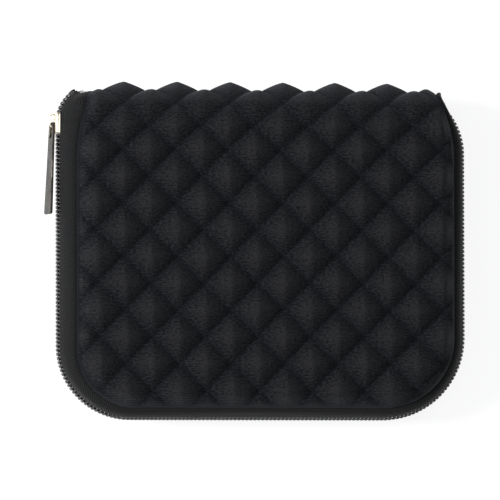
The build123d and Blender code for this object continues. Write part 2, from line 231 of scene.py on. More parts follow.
def make_piece(name: str, shape: Shape, material: bpy.types.Material, smooth: bool = True,
               sharp_angle: float | None = None) -> bpy.types.Object:
    """Makes a Blender object of a shape.

    Args:
        name: The piece's name.
        shape: Its points and faces.
        material: Its finish.
        smooth: Smooth shading.
        sharp_angle: Edges sharper than this, in degrees, stay crisp.

    Returns:
        The object, at the origin.
    """
    mesh = bpy.data.meshes.new(name)
    mesh.from_pydata(shape.points.tolist(), [], shape.quads.tolist() + shape.caps)
    mesh.polygons.foreach_set("use_smooth", np.full(len(mesh.polygons), smooth))
    if shape.cloth is not None:
        corner = np.empty(len(mesh.loops), np.int64)
        mesh.loops.foreach_get("vertex_index", corner)
        layer = mesh.uv_layers.new(name="cloth")
        layer.data.foreach_set("uv", (shape.cloth[corner] / CLOTH_UNIT).astype(np.float32).ravel())
    # The attribute "stretch" carries painted shade for the knit.
    if shape.stretch is not None:
        painted_shade_layer = mesh.attributes.new("stretch", "FLOAT", "POINT")
        painted_shade_layer.data.foreach_set("value", shape.stretch.astype(np.float32).ravel())
    if sharp_angle is not None:
        mesh.set_sharp_from_angle(angle=math.radians(sharp_angle))
    mesh.materials.append(material)
    mesh.update()
    piece = bpy.data.objects.new(name, mesh)
    bpy.context.scene.collection.objects.link(piece)
    return piece


# ---------------------------------------------------------------- finishes


class NodeWork:
    """Builds one material's nodes around its Principled shader."""

    def __init__(self, name: str) -> None:
        """Makes the material.

        Args:
            name: The material's name.
        """
        self.material = bpy.data.materials.new(name)
        self.material.use_nodes = True
        self.tree = self.material.node_tree
        self.shader = self.tree.nodes["Principled BSDF"]

    def set(self, **sockets: float | tuple) -> None:
        """Sets uniform values on the shader's own sockets, with underscores for blanks in their names."""
        for key, value in sockets.items():
            self.shader.inputs[key.replace("_", " ")].default_value = value

    def add(self, kind: str, **options: object) -> bpy.types.Node:
        """Adds a node and sets its properties.

        Args:
            kind: Node type without its ShaderNode prefix.
            **options: Properties of the node.

        Returns:
            The node.
        """
        node = self.tree.nodes.new("ShaderNode" + kind)
        for key, value in options.items():
            setattr(node, key, value)
        return node

    def join(self, source: object, target: object) -> None:
        """Links a node's first output, or a given socket, to a socket, or sets a plain value there."""
        if isinstance(source, (int, float, tuple)):
            target.default_value = source
        else:
            self.tree.links.new(source.outputs[0] if hasattr(source, "outputs") else source, target)

    def math(self, operation: str, a: object, b: object = 0.0, c: object = 0.0) -> bpy.types.Node:
        """Adds a Math node of two or three terms, each a node, a socket or a number."""
        node = self.add("Math", operation=operation)
        for value, socket in zip((a, b, c), node.inputs):
            self.join(value, socket)
        return node

    def coordinates(self, cloth: bool) -> object:
        """The piece's cloth map, in centimetres, or its Object coordinates, in metres."""
        if cloth:
            return self.add("UVMap", uv_map="cloth").outputs["UV"]
        return self.add("TexCoord").outputs["Object"]

    def noise(self, vector: object, scale: float, detail: float = 2.0, rough: float = 0.5) -> object:
        """A noise texture's value.

        Args:
            vector: Coordinates.
            scale: Noise scale.
            detail: Octaves.
            rough: Share of the finer octaves.

        Returns:
            Its Fac socket.
        """
        node = self.add("TexNoise")
        self.join(vector, node.inputs["Vector"])
        node.inputs["Scale"].default_value = scale
        node.inputs["Detail"].default_value = detail
        node.inputs["Roughness"].default_value = rough
        return node.outputs["Fac"]

    def ramp(self, value: object, stops: Sequence[tuple[float, Colour]]) -> object:
        """A colour ramp.

        Args:
            value: What it reads.
            stops: Places and colours.

        Returns:
            Its colour socket.
        """
        node = self.add("ValToRGB")
        elements = node.color_ramp.elements
        while len(elements) < len(stops):
            elements.new(0.5)
        for element, (place, colour) in zip(elements, stops):
            element.position = place
            element.color = (*colour, 1.0)
        self.join(value, node.inputs["Fac"])
        return node.outputs["Color"]

    def mix(self, factor: object, a: object, b: object) -> object:
        """A mix of two colours by a factor; each may be a socket or a colour."""
        node = self.add("Mix", data_type="RGBA")
        self.join(factor, node.inputs["Factor"])
        for value, socket in ((a, node.inputs[6]), (b, node.inputs[7])):
            self.join((*value, 1.0) if isinstance(value, tuple) else value, socket)
        return node.outputs[2]

    def bump(self, height: object, distance: float, strength: float = 1.0, after: object = None) -> object:
        """A bump from a height.

        Args:
            height: The height's socket or node.
            distance: Height of one unit, in metres.
            strength: Strength from 0 to 1.
            after: An earlier bump's normal.

        Returns:
            The normal's socket.
        """
        node = self.add("Bump")
        self.join(height, node.inputs["Height"])
        node.inputs["Distance"].default_value = distance
        node.inputs["Strength"].default_value = strength
        if after is not None:
            self.join(after, node.inputs["Normal"])
        return node.outputs["Normal"]

    def finish(self, colour: object = None, normal: object = None,
               rough: object = None) -> bpy.types.Material:
        """Links what varies to the shader and returns the material."""
        for value, name in ((colour, "Base Color"), (normal, "Normal"), (rough, "Roughness")):
            if value is not None:
                self.join(value, self.shader.inputs[name])
        return self.material

    def ripple(self, value: object, pitch: float) -> bpy.types.Node:
        """A sine wave of a coordinate with the given pitch, from -1 to 1."""
        return self.math("SINE", self.math("MULTIPLY", value, 2 * math.pi / pitch))


@dataclass(frozen=True)
class Knit:
    """Black stretch knit: fine ribs across, wales along, faint fuzz, a few specks of lint."""

    dark: Colour = (0.0016, 0.0019, 0.0034)
    light: Colour = (0.0138, 0.0140, 0.0147)
    rib_cm: float = 0.085
    wale_cm: float = 0.06
    rib_depth: float = 0.05 * MM
    fuzz_depth: float = 0.10 * MM
    warp_cm: float = 0.012
    dash_stretch: tuple[float, float, float] = (0.6, 1.0, 1.0)
    # Weight of the painted shade: darker in the valleys, lighter at the tips.
    painted_shade_share: float = 0.42
    dash_share: float = 1.5
    blotch_share: float = 0.2
    lint: Colour = (0.11, 0.11, 0.115)
    lint_radius: float = 0.028

    def build(self) -> bpy.types.Material:
        """Makes the material: ribs are a sine of the cloth's length, wales a sine of its width.

        The tone is a sum of painted shade from the attribute "stretch" (darker down in the pyramids' valleys and
        along the seam, lighter at their tips), dashes of noise drawn out along the ribs, the ribs themselves and
        large blotches.
        """
        work = NodeWork("foam_knit")
        cloth = work.coordinates(cloth=True)
        warp = work.noise(cloth, 9.0)
        split = work.add("SeparateXYZ")
        work.join(cloth, split.inputs[0])
        along = work.math("MULTIPLY_ADD", warp, self.warp_cm, split.outputs["Y"])
        ribs = work.ripple(along, self.rib_cm)
        wales = work.ripple(split.outputs["X"], self.wale_cm)
        knit = work.math("MULTIPLY_ADD", wales, 0.45, ribs)
        normal = work.bump(knit, self.rib_depth, 0.6)
        fuzz = work.noise(cloth, 55.0, 3.0, 0.7)
        normal = work.bump(fuzz, self.fuzz_depth, 0.5, normal)
        rows = work.add("Mapping")
        work.join(cloth, rows.inputs["Vector"])
        rows.inputs["Scale"].default_value = self.dash_stretch
        dashes = work.noise(rows.outputs[0], 15.0, 2.0, 0.6)
        # Painted shade: the attribute "stretch" darkens the knit down in the valleys and lightens it at the tips.
        painted_shade = work.add("Attribute", attribute_name="stretch").outputs["Fac"]
        shade = work.math("MULTIPLY_ADD", dashes, self.dash_share, -0.3)
        shade = work.math("MULTIPLY_ADD", painted_shade, self.painted_shade_share, shade)
        shade = work.math("MULTIPLY_ADD", ribs, 0.05, shade)
        shade = work.math("MULTIPLY_ADD", work.noise(cloth, 1.6, 4.0, 0.6), self.blotch_share, shade)
        base = work.ramp(shade, [(0.50, self.dark), (1.0, self.light)])
        cells = work.add("TexVoronoi")
        work.join(cloth, cells.inputs["Vector"])
        cells.inputs["Scale"].default_value = 2.2
        speck = work.math("LESS_THAN", cells.outputs["Distance"], self.lint_radius)
        chance = work.math("GREATER_THAN", work.noise(cloth, 3.3), 0.56)
        lint = work.math("MULTIPLY", speck, chance)
        work.set(Roughness=0.95, Sheen_Weight=0.06, Sheen_Roughness=0.5, Specular_IOR_Level=0.1,
                 Sheen_Tint=(0.86, 0.9, 1.0, 1.0))
        return work.finish(work.mix(lint, base, self.lint), normal)


@dataclass(frozen=True)
class Herringbone:
    """Black woven tape: fine diagonal twill that turns at each stripe."""

    name: str = "zip_tape"
    dark: Colour = (0.0022, 0.0024, 0.0028)
    light: Colour = (0.0128, 0.0131, 0.0136)
    stripe_cm: float = 0.28
    twill_cm: float = 0.10

    def build(self) -> bpy.types.Material:
        """Makes the material: a sine of length plus a zigzag of width gives the twill's diagonals."""
        work = NodeWork(self.name)
        cloth = work.coordinates(cloth=True)
        split = work.add("SeparateXYZ")
        work.join(cloth, split.inputs[0])
        zigzag = work.math("PINGPONG", split.outputs["Y"], self.stripe_cm)
        diagonal = work.math("ADD", split.outputs["X"], zigzag)
        twill = work.ripple(diagonal, self.twill_cm)
        weft = work.ripple(split.outputs["Y"], self.twill_cm * 0.7)
        height = work.math("MULTIPLY_ADD", weft, 0.35, twill)
        fuzz = work.noise(cloth, 22.0, 2.0)
        shade = work.math("MULTIPLY_ADD", height, 0.30, fuzz)
        normal = work.bump(height, 0.09 * MM, 0.9)
        work.set(Roughness=0.8, Sheen_Weight=0.06, Sheen_Roughness=0.4, Specular_IOR_Level=0.15)
        return work.finish(work.ramp(shade, [(0.2, self.dark), (0.85, self.light)]), normal)


@dataclass(frozen=True)
class Nylon:
    """Black nylon monofilament with bright highlights."""

    colour: Colour = (0.022, 0.022, 0.023)
    worn: Colour = (0.034, 0.034, 0.036)
    roughness: float = 0.26
    roughness_spread: float = 0.2

    def build(self) -> bpy.types.Material:
        """Makes the material: gloss broken up by fine drawn lines."""
        work = NodeWork("zip_coil")
        place = work.coordinates(cloth=False)
        grain = work.noise(place, 2400.0, 2.0)
        high = self.roughness + self.roughness_spread
        rough = work.ramp(grain, [(0.3, (self.roughness,) * 3), (0.8, (high,) * 3)])
        tone = work.ramp(work.noise(place, 160.0), [(0.3, self.colour), (0.8, self.worn)])
        work.set(Specular_IOR_Level=0.75)
        return work.finish(tone, work.bump(grain, 0.02 * MM, 0.4), rough)


@dataclass(frozen=True)
class Plated:
    """Plated metal with fine polishing lines, faint handling marks and a darker tone in places."""

    name: str
    bright: Colour
    dull: Colour
    roughness: float
    roughness_spread: float = 0.14
    metallic: float = 1.0

    def build(self) -> bpy.types.Material:
        """Makes the material: noise stretched along one axis gives the polishing lines."""
        work = NodeWork(self.name)
        place = work.coordinates(cloth=False)
        stretch = work.add("Mapping")
        work.join(place, stretch.inputs["Vector"])
        stretch.inputs["Scale"].default_value = (1.0, 0.06, 1.0)
        lines = work.noise(stretch.outputs[0], 5200.0, 2.0)
        marks = work.noise(place, 420.0, 4.0, 0.6)
        low, high = self.roughness, self.roughness + self.roughness_spread
        rough = work.ramp(marks, [(0.35, (low,) * 3), (0.75, (high,) * 3)])
        tone = work.ramp(marks, [(0.35, self.bright), (0.8, self.dull)])
        work.set(Metallic=self.metallic)
        return work.finish(tone, work.bump(lines, 0.006 * MM, 0.35), rough)


@dataclass(frozen=True)
class Velvet:
    """Short-pile velvet: soft mottled pile with a strong sheen at grazing angles."""

    name: str
    deep: Colour
    pile: Colour
    sheen: float = 0.8

    def build(self) -> bpy.types.Material:
        """Makes the material: pile direction is large soft noise, pile tips are fine noise."""
        work = NodeWork(self.name)
        place = work.coordinates(cloth=False)
        brushed = work.noise(place, 95.0, 3.0, 0.55)
        tips = work.noise(place, 3600.0, 2.0)
        shade = work.math("MULTIPLY_ADD", tips, 0.35, brushed)
        normal = work.bump(tips, 0.12 * MM, 0.5, work.bump(brushed, 0.5 * MM, 0.25))
        work.set(Roughness=0.9, Sheen_Weight=self.sheen, Sheen_Roughness=0.35, Specular_IOR_Level=0.2)
        return work.finish(work.ramp(shade, [(0.45, self.deep), (0.95, self.pile)]), normal)


@dataclass(frozen=True)
class Grosgrain:
    """Ribbed binding: cross ribs along its length."""

    name: str = "binding_tape"
    dark: Colour = (0.010, 0.010, 0.011)
    light: Colour = (0.036, 0.036, 0.038)
    rib_cm: float = 0.08

    def build(self) -> bpy.types.Material:
        """Makes the material: ribs are a sine of the length."""
        work = NodeWork(self.name)
        cloth = work.coordinates(cloth=True)
        split = work.add("SeparateXYZ")
        work.join(cloth, split.inputs[0])
        ribs = work.ripple(split.outputs["X"], self.rib_cm)
        shade = work.math("MULTIPLY_ADD", ribs, 0.22, work.noise(cloth, 40.0))
        work.set(Roughness=0.7, Sheen_Weight=0.3, Specular_IOR_Level=0.3)
        return work.finish(work.ramp(shade, [(0.2, self.dark), (0.8, self.light)]),
                           work.bump(ribs, 0.07 * MM, 0.8))


@dataclass(frozen=True)
class Fibre:
    """Plain fibrous stuff with a grain: sewing thread or stiffener board."""

    name: str
    dark: Colour
    light: Colour
    grain: float
    depth: float = 0.05 * MM

    def build(self) -> bpy.types.Material:
        """Makes the material: noise of one grain for tone and height."""
        work = NodeWork(self.name)
        value = work.noise(work.coordinates(cloth=False), self.grain, 4.0, 0.6)
        work.set(Roughness=0.85, Sheen_Weight=0.15, Specular_IOR_Level=0.3)
        return work.finish(work.ramp(value, [(0.3, self.dark), (0.75, self.light)]),
                           work.bump(value, self.depth, 0.6))


@dataclass
class Finishes:
    """Every material of the case."""

    knit: bpy.types.Material = field(default_factory=lambda: Knit().build())
    tape: bpy.types.Material = field(default_factory=lambda: Herringbone().build())
    coil: bpy.types.Material = field(default_factory=lambda: Nylon().build())
    gold: bpy.types.Material = field(default_factory=lambda: Plated(
        "slider_metal", (0.93, 0.85, 0.72), (0.80, 0.68, 0.52), 0.14).build())
    # The tab's dark tone is a painted reflection of the black case in its light metal; the zip stops use it as
    # their own dark metal.
    gunmetal_and_painted_reflection: bpy.types.Material = field(default_factory=lambda: Plated(
        "tab_metal", (0.050, 0.045, 0.037), (0.030, 0.027, 0.022), 0.34).build())
    nickel: bpy.types.Material = field(default_factory=lambda: Plated(
        "snap_metal", (0.72, 0.71, 0.69), (0.5, 0.49, 0.47), 0.18).build())
    velvet: bpy.types.Material = field(default_factory=lambda: Velvet(
        "velvet", (0.13, 0.118, 0.112), (0.30, 0.275, 0.262)).build())
    suede: bpy.types.Material = field(default_factory=lambda: Velvet(
        "lining_cloth", (0.030, 0.030, 0.033), (0.075, 0.075, 0.08), 0.4).build())
    binding: bpy.types.Material = field(default_factory=lambda: Grosgrain().build())
    board: bpy.types.Material = field(default_factory=lambda: Fibre(
        "board", (0.22, 0.18, 0.14), (0.42, 0.36, 0.28), 900.0).build())
    thread: bpy.types.Material = field(default_factory=lambda: Fibre(
        "thread", (0.42, 0.41, 0.39), (0.72, 0.71, 0.68), 2500.0).build())
    dark_thread: bpy.types.Material = field(default_factory=lambda: Fibre(
        "dark_thread", (0.03, 0.03, 0.032), (0.09, 0.09, 0.092), 2500.0).build())


# ---------------------------------------------------------------- the case's form


@dataclass
class CaseForm:
    """Plan and cross-section that every soft piece follows.

    The plan is a rounded rectangle, open at the rear, described by a rim parameter that runs from 0 to 7:
    rear left corner, left side, front left corner, front, front right corner, right side, rear right
    corner. The section is unrolled: it runs flat from the front, then round the spine to its back.
    """

    front_left_corner: float = 26.5 * MM
    front_right_corner: float = 30.0 * MM
    rear_left_corner: float = 11.0 * MM
    rear_right_corner: float = 22.8 * MM
    spine_radius: float = 12.2 * MM
    pyramid_height: float = 4.5 * MM
    seam_left: float = 5.1 * MM
    seam_right: float = 3.3 * MM
    seam_front: float = 2.9 * MM
    taper_left_y: float = 34.0 * MM
    taper_right_y: float = 36.0 * MM
    nose_flare: float = 0.8 * MM
    seam_drop: float = 4.3 * MM
    spine_drop: float = 0.4 * MM
    groove: float = 0.6 * MM
    end_lift: float = 0.9 * MM
    right_end_lift: float = 0.6 * MM
    right_end_y: float = 57.0 * MM
    rear_tuck: float = 0.05 * MM
    fold_before: float = 7.2 * MM
    fold_after: float = 1.0 * MM

    def __post_init__(self) -> None:
        """Reads the places of the frame's own parts."""
        low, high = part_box("base_tape")
        self.left, self.right, self.front = low.x, high.x, low.y
        self.zip_end_y = high.y
        self.mid_z = (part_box("base_cover")[0].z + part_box("lid_cover")[1].z) / 2
        spine_low, spine_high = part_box("spine_cover")
        self.spine_left, self.spine_right = spine_low.x, spine_high.x
        self.mid_x = (self.spine_left + self.spine_right) / 2
        self.spine_y = spine_high.y - self.pyramid_height - self.spine_radius
        self.nose = self.spine_y + self.spine_radius * math.pi / 2
        rear = self.spine_y + self.spine_radius - self.rear_tuck
        rl, rr = self.rear_left_corner, self.rear_right_corner
        fl, fr = self.front_left_corner, self.front_right_corner
        self.centres = np.array([
            (self.left + rl, rear - rl), (self.left + rl, rear - rl),
            (self.left + fl, self.front + fl), (self.left + fl, self.front + fl),
            (self.right - fr, self.front + fr), (self.right - fr, self.front + fr),
            (self.right - rr, rear - rr), (self.right - rr, rear - rr)])
        self.radii = np.array([rl, rl, fl, fl, fr, fr, rr, rr])
        start = math.pi - math.asin((self.zip_end_y - rear + rl) / rl)
        end = 2 * math.pi + math.asin((self.right_end_y - rear + rr) / rr)
        pi = math.pi
        self.angles = np.array([start, pi, pi, 1.5 * pi, 1.5 * pi, 2 * pi, 2 * pi, end])
        arcs = self.radii[:-1] * np.diff(self.angles)
        runs = np.linalg.norm(np.diff(self.centres, axis=0), axis=1)
        self.marks = np.concatenate([[0.0], np.cumsum(arcs + runs)])

    def rim(self, u: Array, inset: Array | float = 0.0) -> tuple[Array, Array]:
        """Points and outward normals of the plan: centre + (radius - inset) * (cos a, sin a).

        Both rear ends stand off backwards a little, by the square of how near they are.

        Args:
            u: Rim parameters from 0 to 7.
            inset: Distance inside the zip line.

        Returns:
            Points (n, 2) and unit normals (n, 2).
        """
        knots = np.arange(8.0)
        centre = np.stack([np.interp(u, knots, self.centres[:, k]) for k in (0, 1)], axis=-1)
        radius = np.interp(u, knots, self.radii)
        angle = np.interp(u, knots, self.angles)
        normal = np.stack([np.cos(angle), np.sin(angle)], axis=-1)
        spot = centre + (radius - inset)[..., None] * normal
        spot[..., 1] += self.end_lift * np.clip(1 - u, 0, 1) ** 2
        spot[..., 1] += self.right_end_lift * np.clip(u - 6, 0, 1) ** 2
        return spot, normal

    def rim_at(self, distance: Array) -> Array:
        """Rim parameters at distances along the zip line from its rear left end."""
        return np.interp(distance, self.marks, np.arange(8.0))

    def seam_inset(self, u: Array) -> Array:
        """Distance from the zip line to the quilt's seam, which differs from side to side."""
        a, b, c = self.seam_left, self.seam_front, self.seam_right
        return np.interp(u, np.arange(8.0), [a, a, a, b, b, c, c, c])

    def seam_x(self, s: Array, side: int, extra: float = 0.0) -> Array:
        """Side edge of the quilt at unrolled distances, drawn in towards the spine's ends.

        Args:
            s: Unrolled distances; on the flat they equal y.
            side: -1 for the left edge, 1 for the right one.
            extra: Distance further inside.

        Returns:
            The edge's x.
        """
        u = np.linspace(3.0, 1.0, 241) if side < 0 else np.linspace(4.0, 6.0, 241)
        edge, _ = self.rim(u, self.seam_inset(u) + extra)
        x = np.interp(s, edge[:, 1], edge[:, 0])
        begin = self.taper_left_y if side < 0 else self.taper_right_y
        corner = self.spine_left if side < 0 else self.spine_right + self.nose_flare
        target = corner - side * extra
        straight = self.left + self.seam_left if side < 0 else self.right - self.seam_right
        return x + (target - (straight - side * extra)) * ease((s - begin) / (self.nose - begin))

    def seam_y(self, x: Array) -> Array:
        """Front edge of the quilt below each x."""
        u = np.linspace(2.0, 5.0, 361)
        edge, _ = self.rim(u, self.seam_inset(u))
        return np.interp(x, edge[:, 0], edge[:, 1])

    def place(self, x: Array, s: Array, depth: Array, half: Half) -> Array:
        """Points of the section: flat, then round the spine's centre at its radius plus a depth.

        Args:
            x: Places across.
            s: Unrolled distances from the front.
            depth: Distance out of the quilt's valley surface.
            half: Lid, or base, which is its mirror image.

        Returns:
            Points with the shape of x plus a last axis of three.
        """
        turn = np.clip((s - self.spine_y) / self.spine_radius, 0.0, math.pi / 2)
        reach = self.spine_radius + depth
        y = np.minimum(s, self.spine_y) + reach * np.sin(turn)
        z = self.mid_z + half.value * reach * np.cos(turn)
        return np.stack(np.broadcast_arrays(x, y, z), axis=-1)

    def edge_drop(self, s: Array) -> Array:
        """How far the quilt's rim lies below its valley surface, less at the spine's ends."""
        behind = ease((s - self.spine_y) / self.spine_radius)
        return self.seam_drop + (self.spine_drop - self.seam_drop) * behind

    def panel(self, extra: float, middle: int, rim_points: int, rim_zone: float) -> tuple[Array, Array]:
        """A grid of places over one half, from the front edge to the spine's back.

        Rows crowd towards the front as 1 - cos, which also spaces the rounded corners evenly, and columns
        crowd towards both side edges in the same way.

        Args:
            extra: Distance inside the quilt's seam.
            middle: Number of even columns between the edge zones.
            rim_points: Number of crowded columns in each edge zone.
            rim_zone: Width of an edge zone.

        Returns:
            Grids (rows, columns) of x and of unrolled distance.
        """
        corner = self.front_right_corner - self.seam_front - extra
        start = self.front + self.seam_front + extra
        step = (self.right - self.left) / middle
        turn = np.linspace(0, math.pi / 2, max(int(corner * 1.6 / step), 8))
        curved = start + corner * (1 - np.cos(turn))
        rows = max(int((self.nose - start - corner) / step), 8)
        s = np.concatenate([curved, np.linspace(start + corner, self.nose, rows)[1:]])[:, None]
        edge = 1 - np.cos(np.linspace(0, math.pi / 2, rim_points))
        x0, x1 = self.seam_x(s, -1, extra), self.seam_x(s, 1, extra)
        flat = np.linspace(0, 1, middle)[None, 1:-1]
        a, b = x0 + rim_zone, x1 - rim_zone
        left, right = x0 + rim_zone * edge[None], (x1 - rim_zone * edge[None])[:, ::-1]
        x = np.concatenate([left, a + (b - a) * flat, right], axis=1)
        return x, np.broadcast_to(s, x.shape)

    def fold(self) -> dict[str, tuple[float, float, float]]:
        """Two places on the spine's middle line where a bend between a half and the spine would start and end."""
        return {"start": (self.mid_x, self.zip_end_y - self.fold_before, self.mid_z),
                "end": (self.mid_x, self.zip_end_y - self.fold_after, self.mid_z)}

    def bend(self, piece: bpy.types.Object, half: Half) -> None:
        """Bakes a soft piece's transform into its points."""
        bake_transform(piece)


# ---------------------------------------------------------------- outside: quilt and zip


@dataclass
class Quilt:
    """Moulded foam cover: soft four-sided pyramids in two interleaved grids, wrapped over the spine."""

    form: CaseForm
    half: Half
    pitch_x: float = 20.2 * MM
    pitch_y: float = 20.25 * MM
    column_x: float = 6.5 * MM
    row_y: float = 7.1 * MM
    skew: float = 0.018
    spine_shift: float = 3.0 * MM
    ridge_power: float = 7.0
    apex_round: float = 0.2
    fullness: float = 0.06
    saddle: float = 0.7 * MM
    fade: float = 5.0 * MM
    rim_width: float = 6.5 * MM
    foam: float = 3.0 * MM
    crowd: float = 0.125
    crowd_at: float = 54.5 * MM
    crowd_width: float = 7.0 * MM
    bend_loss: float = 0.45
    bend_at: float = 56.5 * MM
    bend_width: float = 5.0 * MM
    wave_x: float = 0.28 * MM
    wave_y: float = 0.30 * MM
    # Strength and width of a painted shadow: a dark line along the seam's groove.
    seam_shade: float = 1.5
    seam_shade_width: float = 0.8 * MM
    groove_width: float = 1.3 * MM
    columns: int = 225
    rim_columns: int = 13

    def lattice(self, x: Array, s: Array) -> tuple[Array, Array]:
        """Quilt coordinates p, q that are whole numbers at every apex and halfway between at the valleys.

        p = a + b and q = a - b, where a and b count pitches across and along. The columns drift sideways
        a little towards the front and again over the spine, slow waves keep them from being perfect, and a
        bell crowds the rows just before the bend.
        """
        form = self.form
        along = s if self.half is Half.LID else 2 * form.nose - s
        over_spine = ease((along - form.spine_y) / (form.nose - form.spine_y))
        drift = -self.skew * (along - self.row_y) + self.spine_shift * over_spine
        wave_x = self.wave_x * np.sin(along / (11 * MM) + 1.3) * np.cos(x / (23 * MM))
        wave_y = self.wave_y * np.sin(x / (13 * MM) + 0.4) * np.cos(along / (19 * MM) + 0.8)
        a = (x - form.mid_x - self.column_x - drift - wave_x) / self.pitch_x
        crowd = bell(along, self.crowd_at, self.crowd_width)
        crowd = self.crowd * (crowd - bell(2 * form.nose - along, self.crowd_at, self.crowd_width))
        b = (along - self.row_y - wave_y) / self.pitch_y + crowd
        return a + b, a - b

    def pyramid_depth(self, x: Array, s: Array) -> Array:
        """Height of the pyramids over the valley surface.

        With m the distance from the apex, 0 there and 1 along the valleys, measured by a power norm of
        the two quilt coordinates, the height is a straight slope with a hyperbola's rounded top. A small
        saddle lifts the middle of each valley above the pits where four pyramids meet. Each pyramid's tip
        differs a little, by a hash of its cell, and a bell lowers the ones just before the bend.
        """
        p, q = self.lattice(x, s)
        cell = np.rint(p) * 12.9898 + np.rint(q) * 78.233
        chance = np.sin(cell) * 43758.5453
        chance = chance - np.floor(chance)
        p, q = np.abs(p - np.rint(p)) * 2, np.abs(q - np.rint(q)) * 2
        m = (p ** self.ridge_power + q ** self.ridge_power) ** (1 / self.ridge_power)
        c = self.apex_round
        slope = (np.sqrt(1 + c * c) - np.sqrt(m * m + c * c)) / (math.sqrt(1 + c * c) - c)
        slope = slope * (1 - self.fullness) + (1 - m * m) * self.fullness
        saddle = self.saddle * (1 - np.minimum(p, q) ** 2) * m ** 2 * (1 - 0.6 * m ** 8)
        peak = self.form.pyramid_height * (0.95 + 0.05 * chance * np.clip(1 - m, 0, 1))
        loss = 1 - self.bend_loss * bell(s, self.bend_at, self.bend_width)
        return peak * slope * loss + saddle

    def edge_distance(self, x: Array, s: Array) -> Array:
        """Distance inside the seam: 1 / d^2 is the sum of 1 / (sideways)^2 and 1 / (forwards)^2."""
        form = self.form
        side = np.minimum(x - form.seam_x(s, -1), form.seam_x(s, 1) - x)
        ahead = s - form.seam_y(x)
        side, ahead = np.maximum(side, 1e-6), np.maximum(ahead, 1e-6)
        return 1 / np.sqrt(1 / side ** 2 + 1 / ahead ** 2)

    def build(self, finishes: Finishes) -> bpy.types.Object:
        """Makes the cover, closed on its inside.

        Its depth is the pyramids' height, faded near the seam, minus a rolled edge: a quarter of an
        ellipse that falls from the valley surface to the seam, where a narrow groove runs beside the tape.

        Args:
            finishes: The case's materials.

        Returns:
            The cover's piece.
        """
        form = self.form
        x, s = form.panel(0.0, self.columns, self.rim_columns, self.rim_width)
        inside = self.edge_distance(x, s)
        t = 1 - np.clip(inside / self.rim_width, 0, 1)
        roll = 1 - np.sqrt(np.clip(1 - t * t, 0, 1))
        fade = 0.12 + 0.88 * ease(inside / self.fade)
        fade = np.where(inside < 1e-5, 0.0, fade)
        drop = form.edge_drop(s) * roll
        depth = self.pyramid_depth(x, s) * fade * np.clip(inside / (1.2 * MM), 0, 1) - drop
        depth = depth - form.groove * np.clip(1 - inside / self.groove_width, 0, 1) ** 2
        top = form.place(x, s, depth, self.half)
        over_spine = 0.8 * MM * ease((s - form.spine_y + 2 * MM) / (4 * MM))
        under = np.minimum(-self.foam - over_spine, depth - 0.9 * MM) - 0.07 * drop
        bottom = form.place(x, s, under, self.half)
        shape = closed_sheet(top, bottom, np.stack([x, s], axis=-1))
        # Painted shadow: a dark line along the seam's groove, taken off the painted shade.
        seam_shade = self.seam_shade * np.exp(-((inside / self.seam_shade_width) ** 2))
        # Painted shade for the knit: the pyramids' height, so the valleys come out darker and the tips lighter.
        painted_shade = self.pyramid_depth(x, s) / form.pyramid_height - seam_shade
        shape.stretch = np.tile(painted_shade.ravel(), 2)
        piece = make_piece(f"{self.half.body}_quilt", shape if self.half is Half.LID else shape.flipped(),
                           finishes.knit)
        form.bend(piece, self.half)
        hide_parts(f"{self.half.body}_cover", "spine_cover")
        return piece


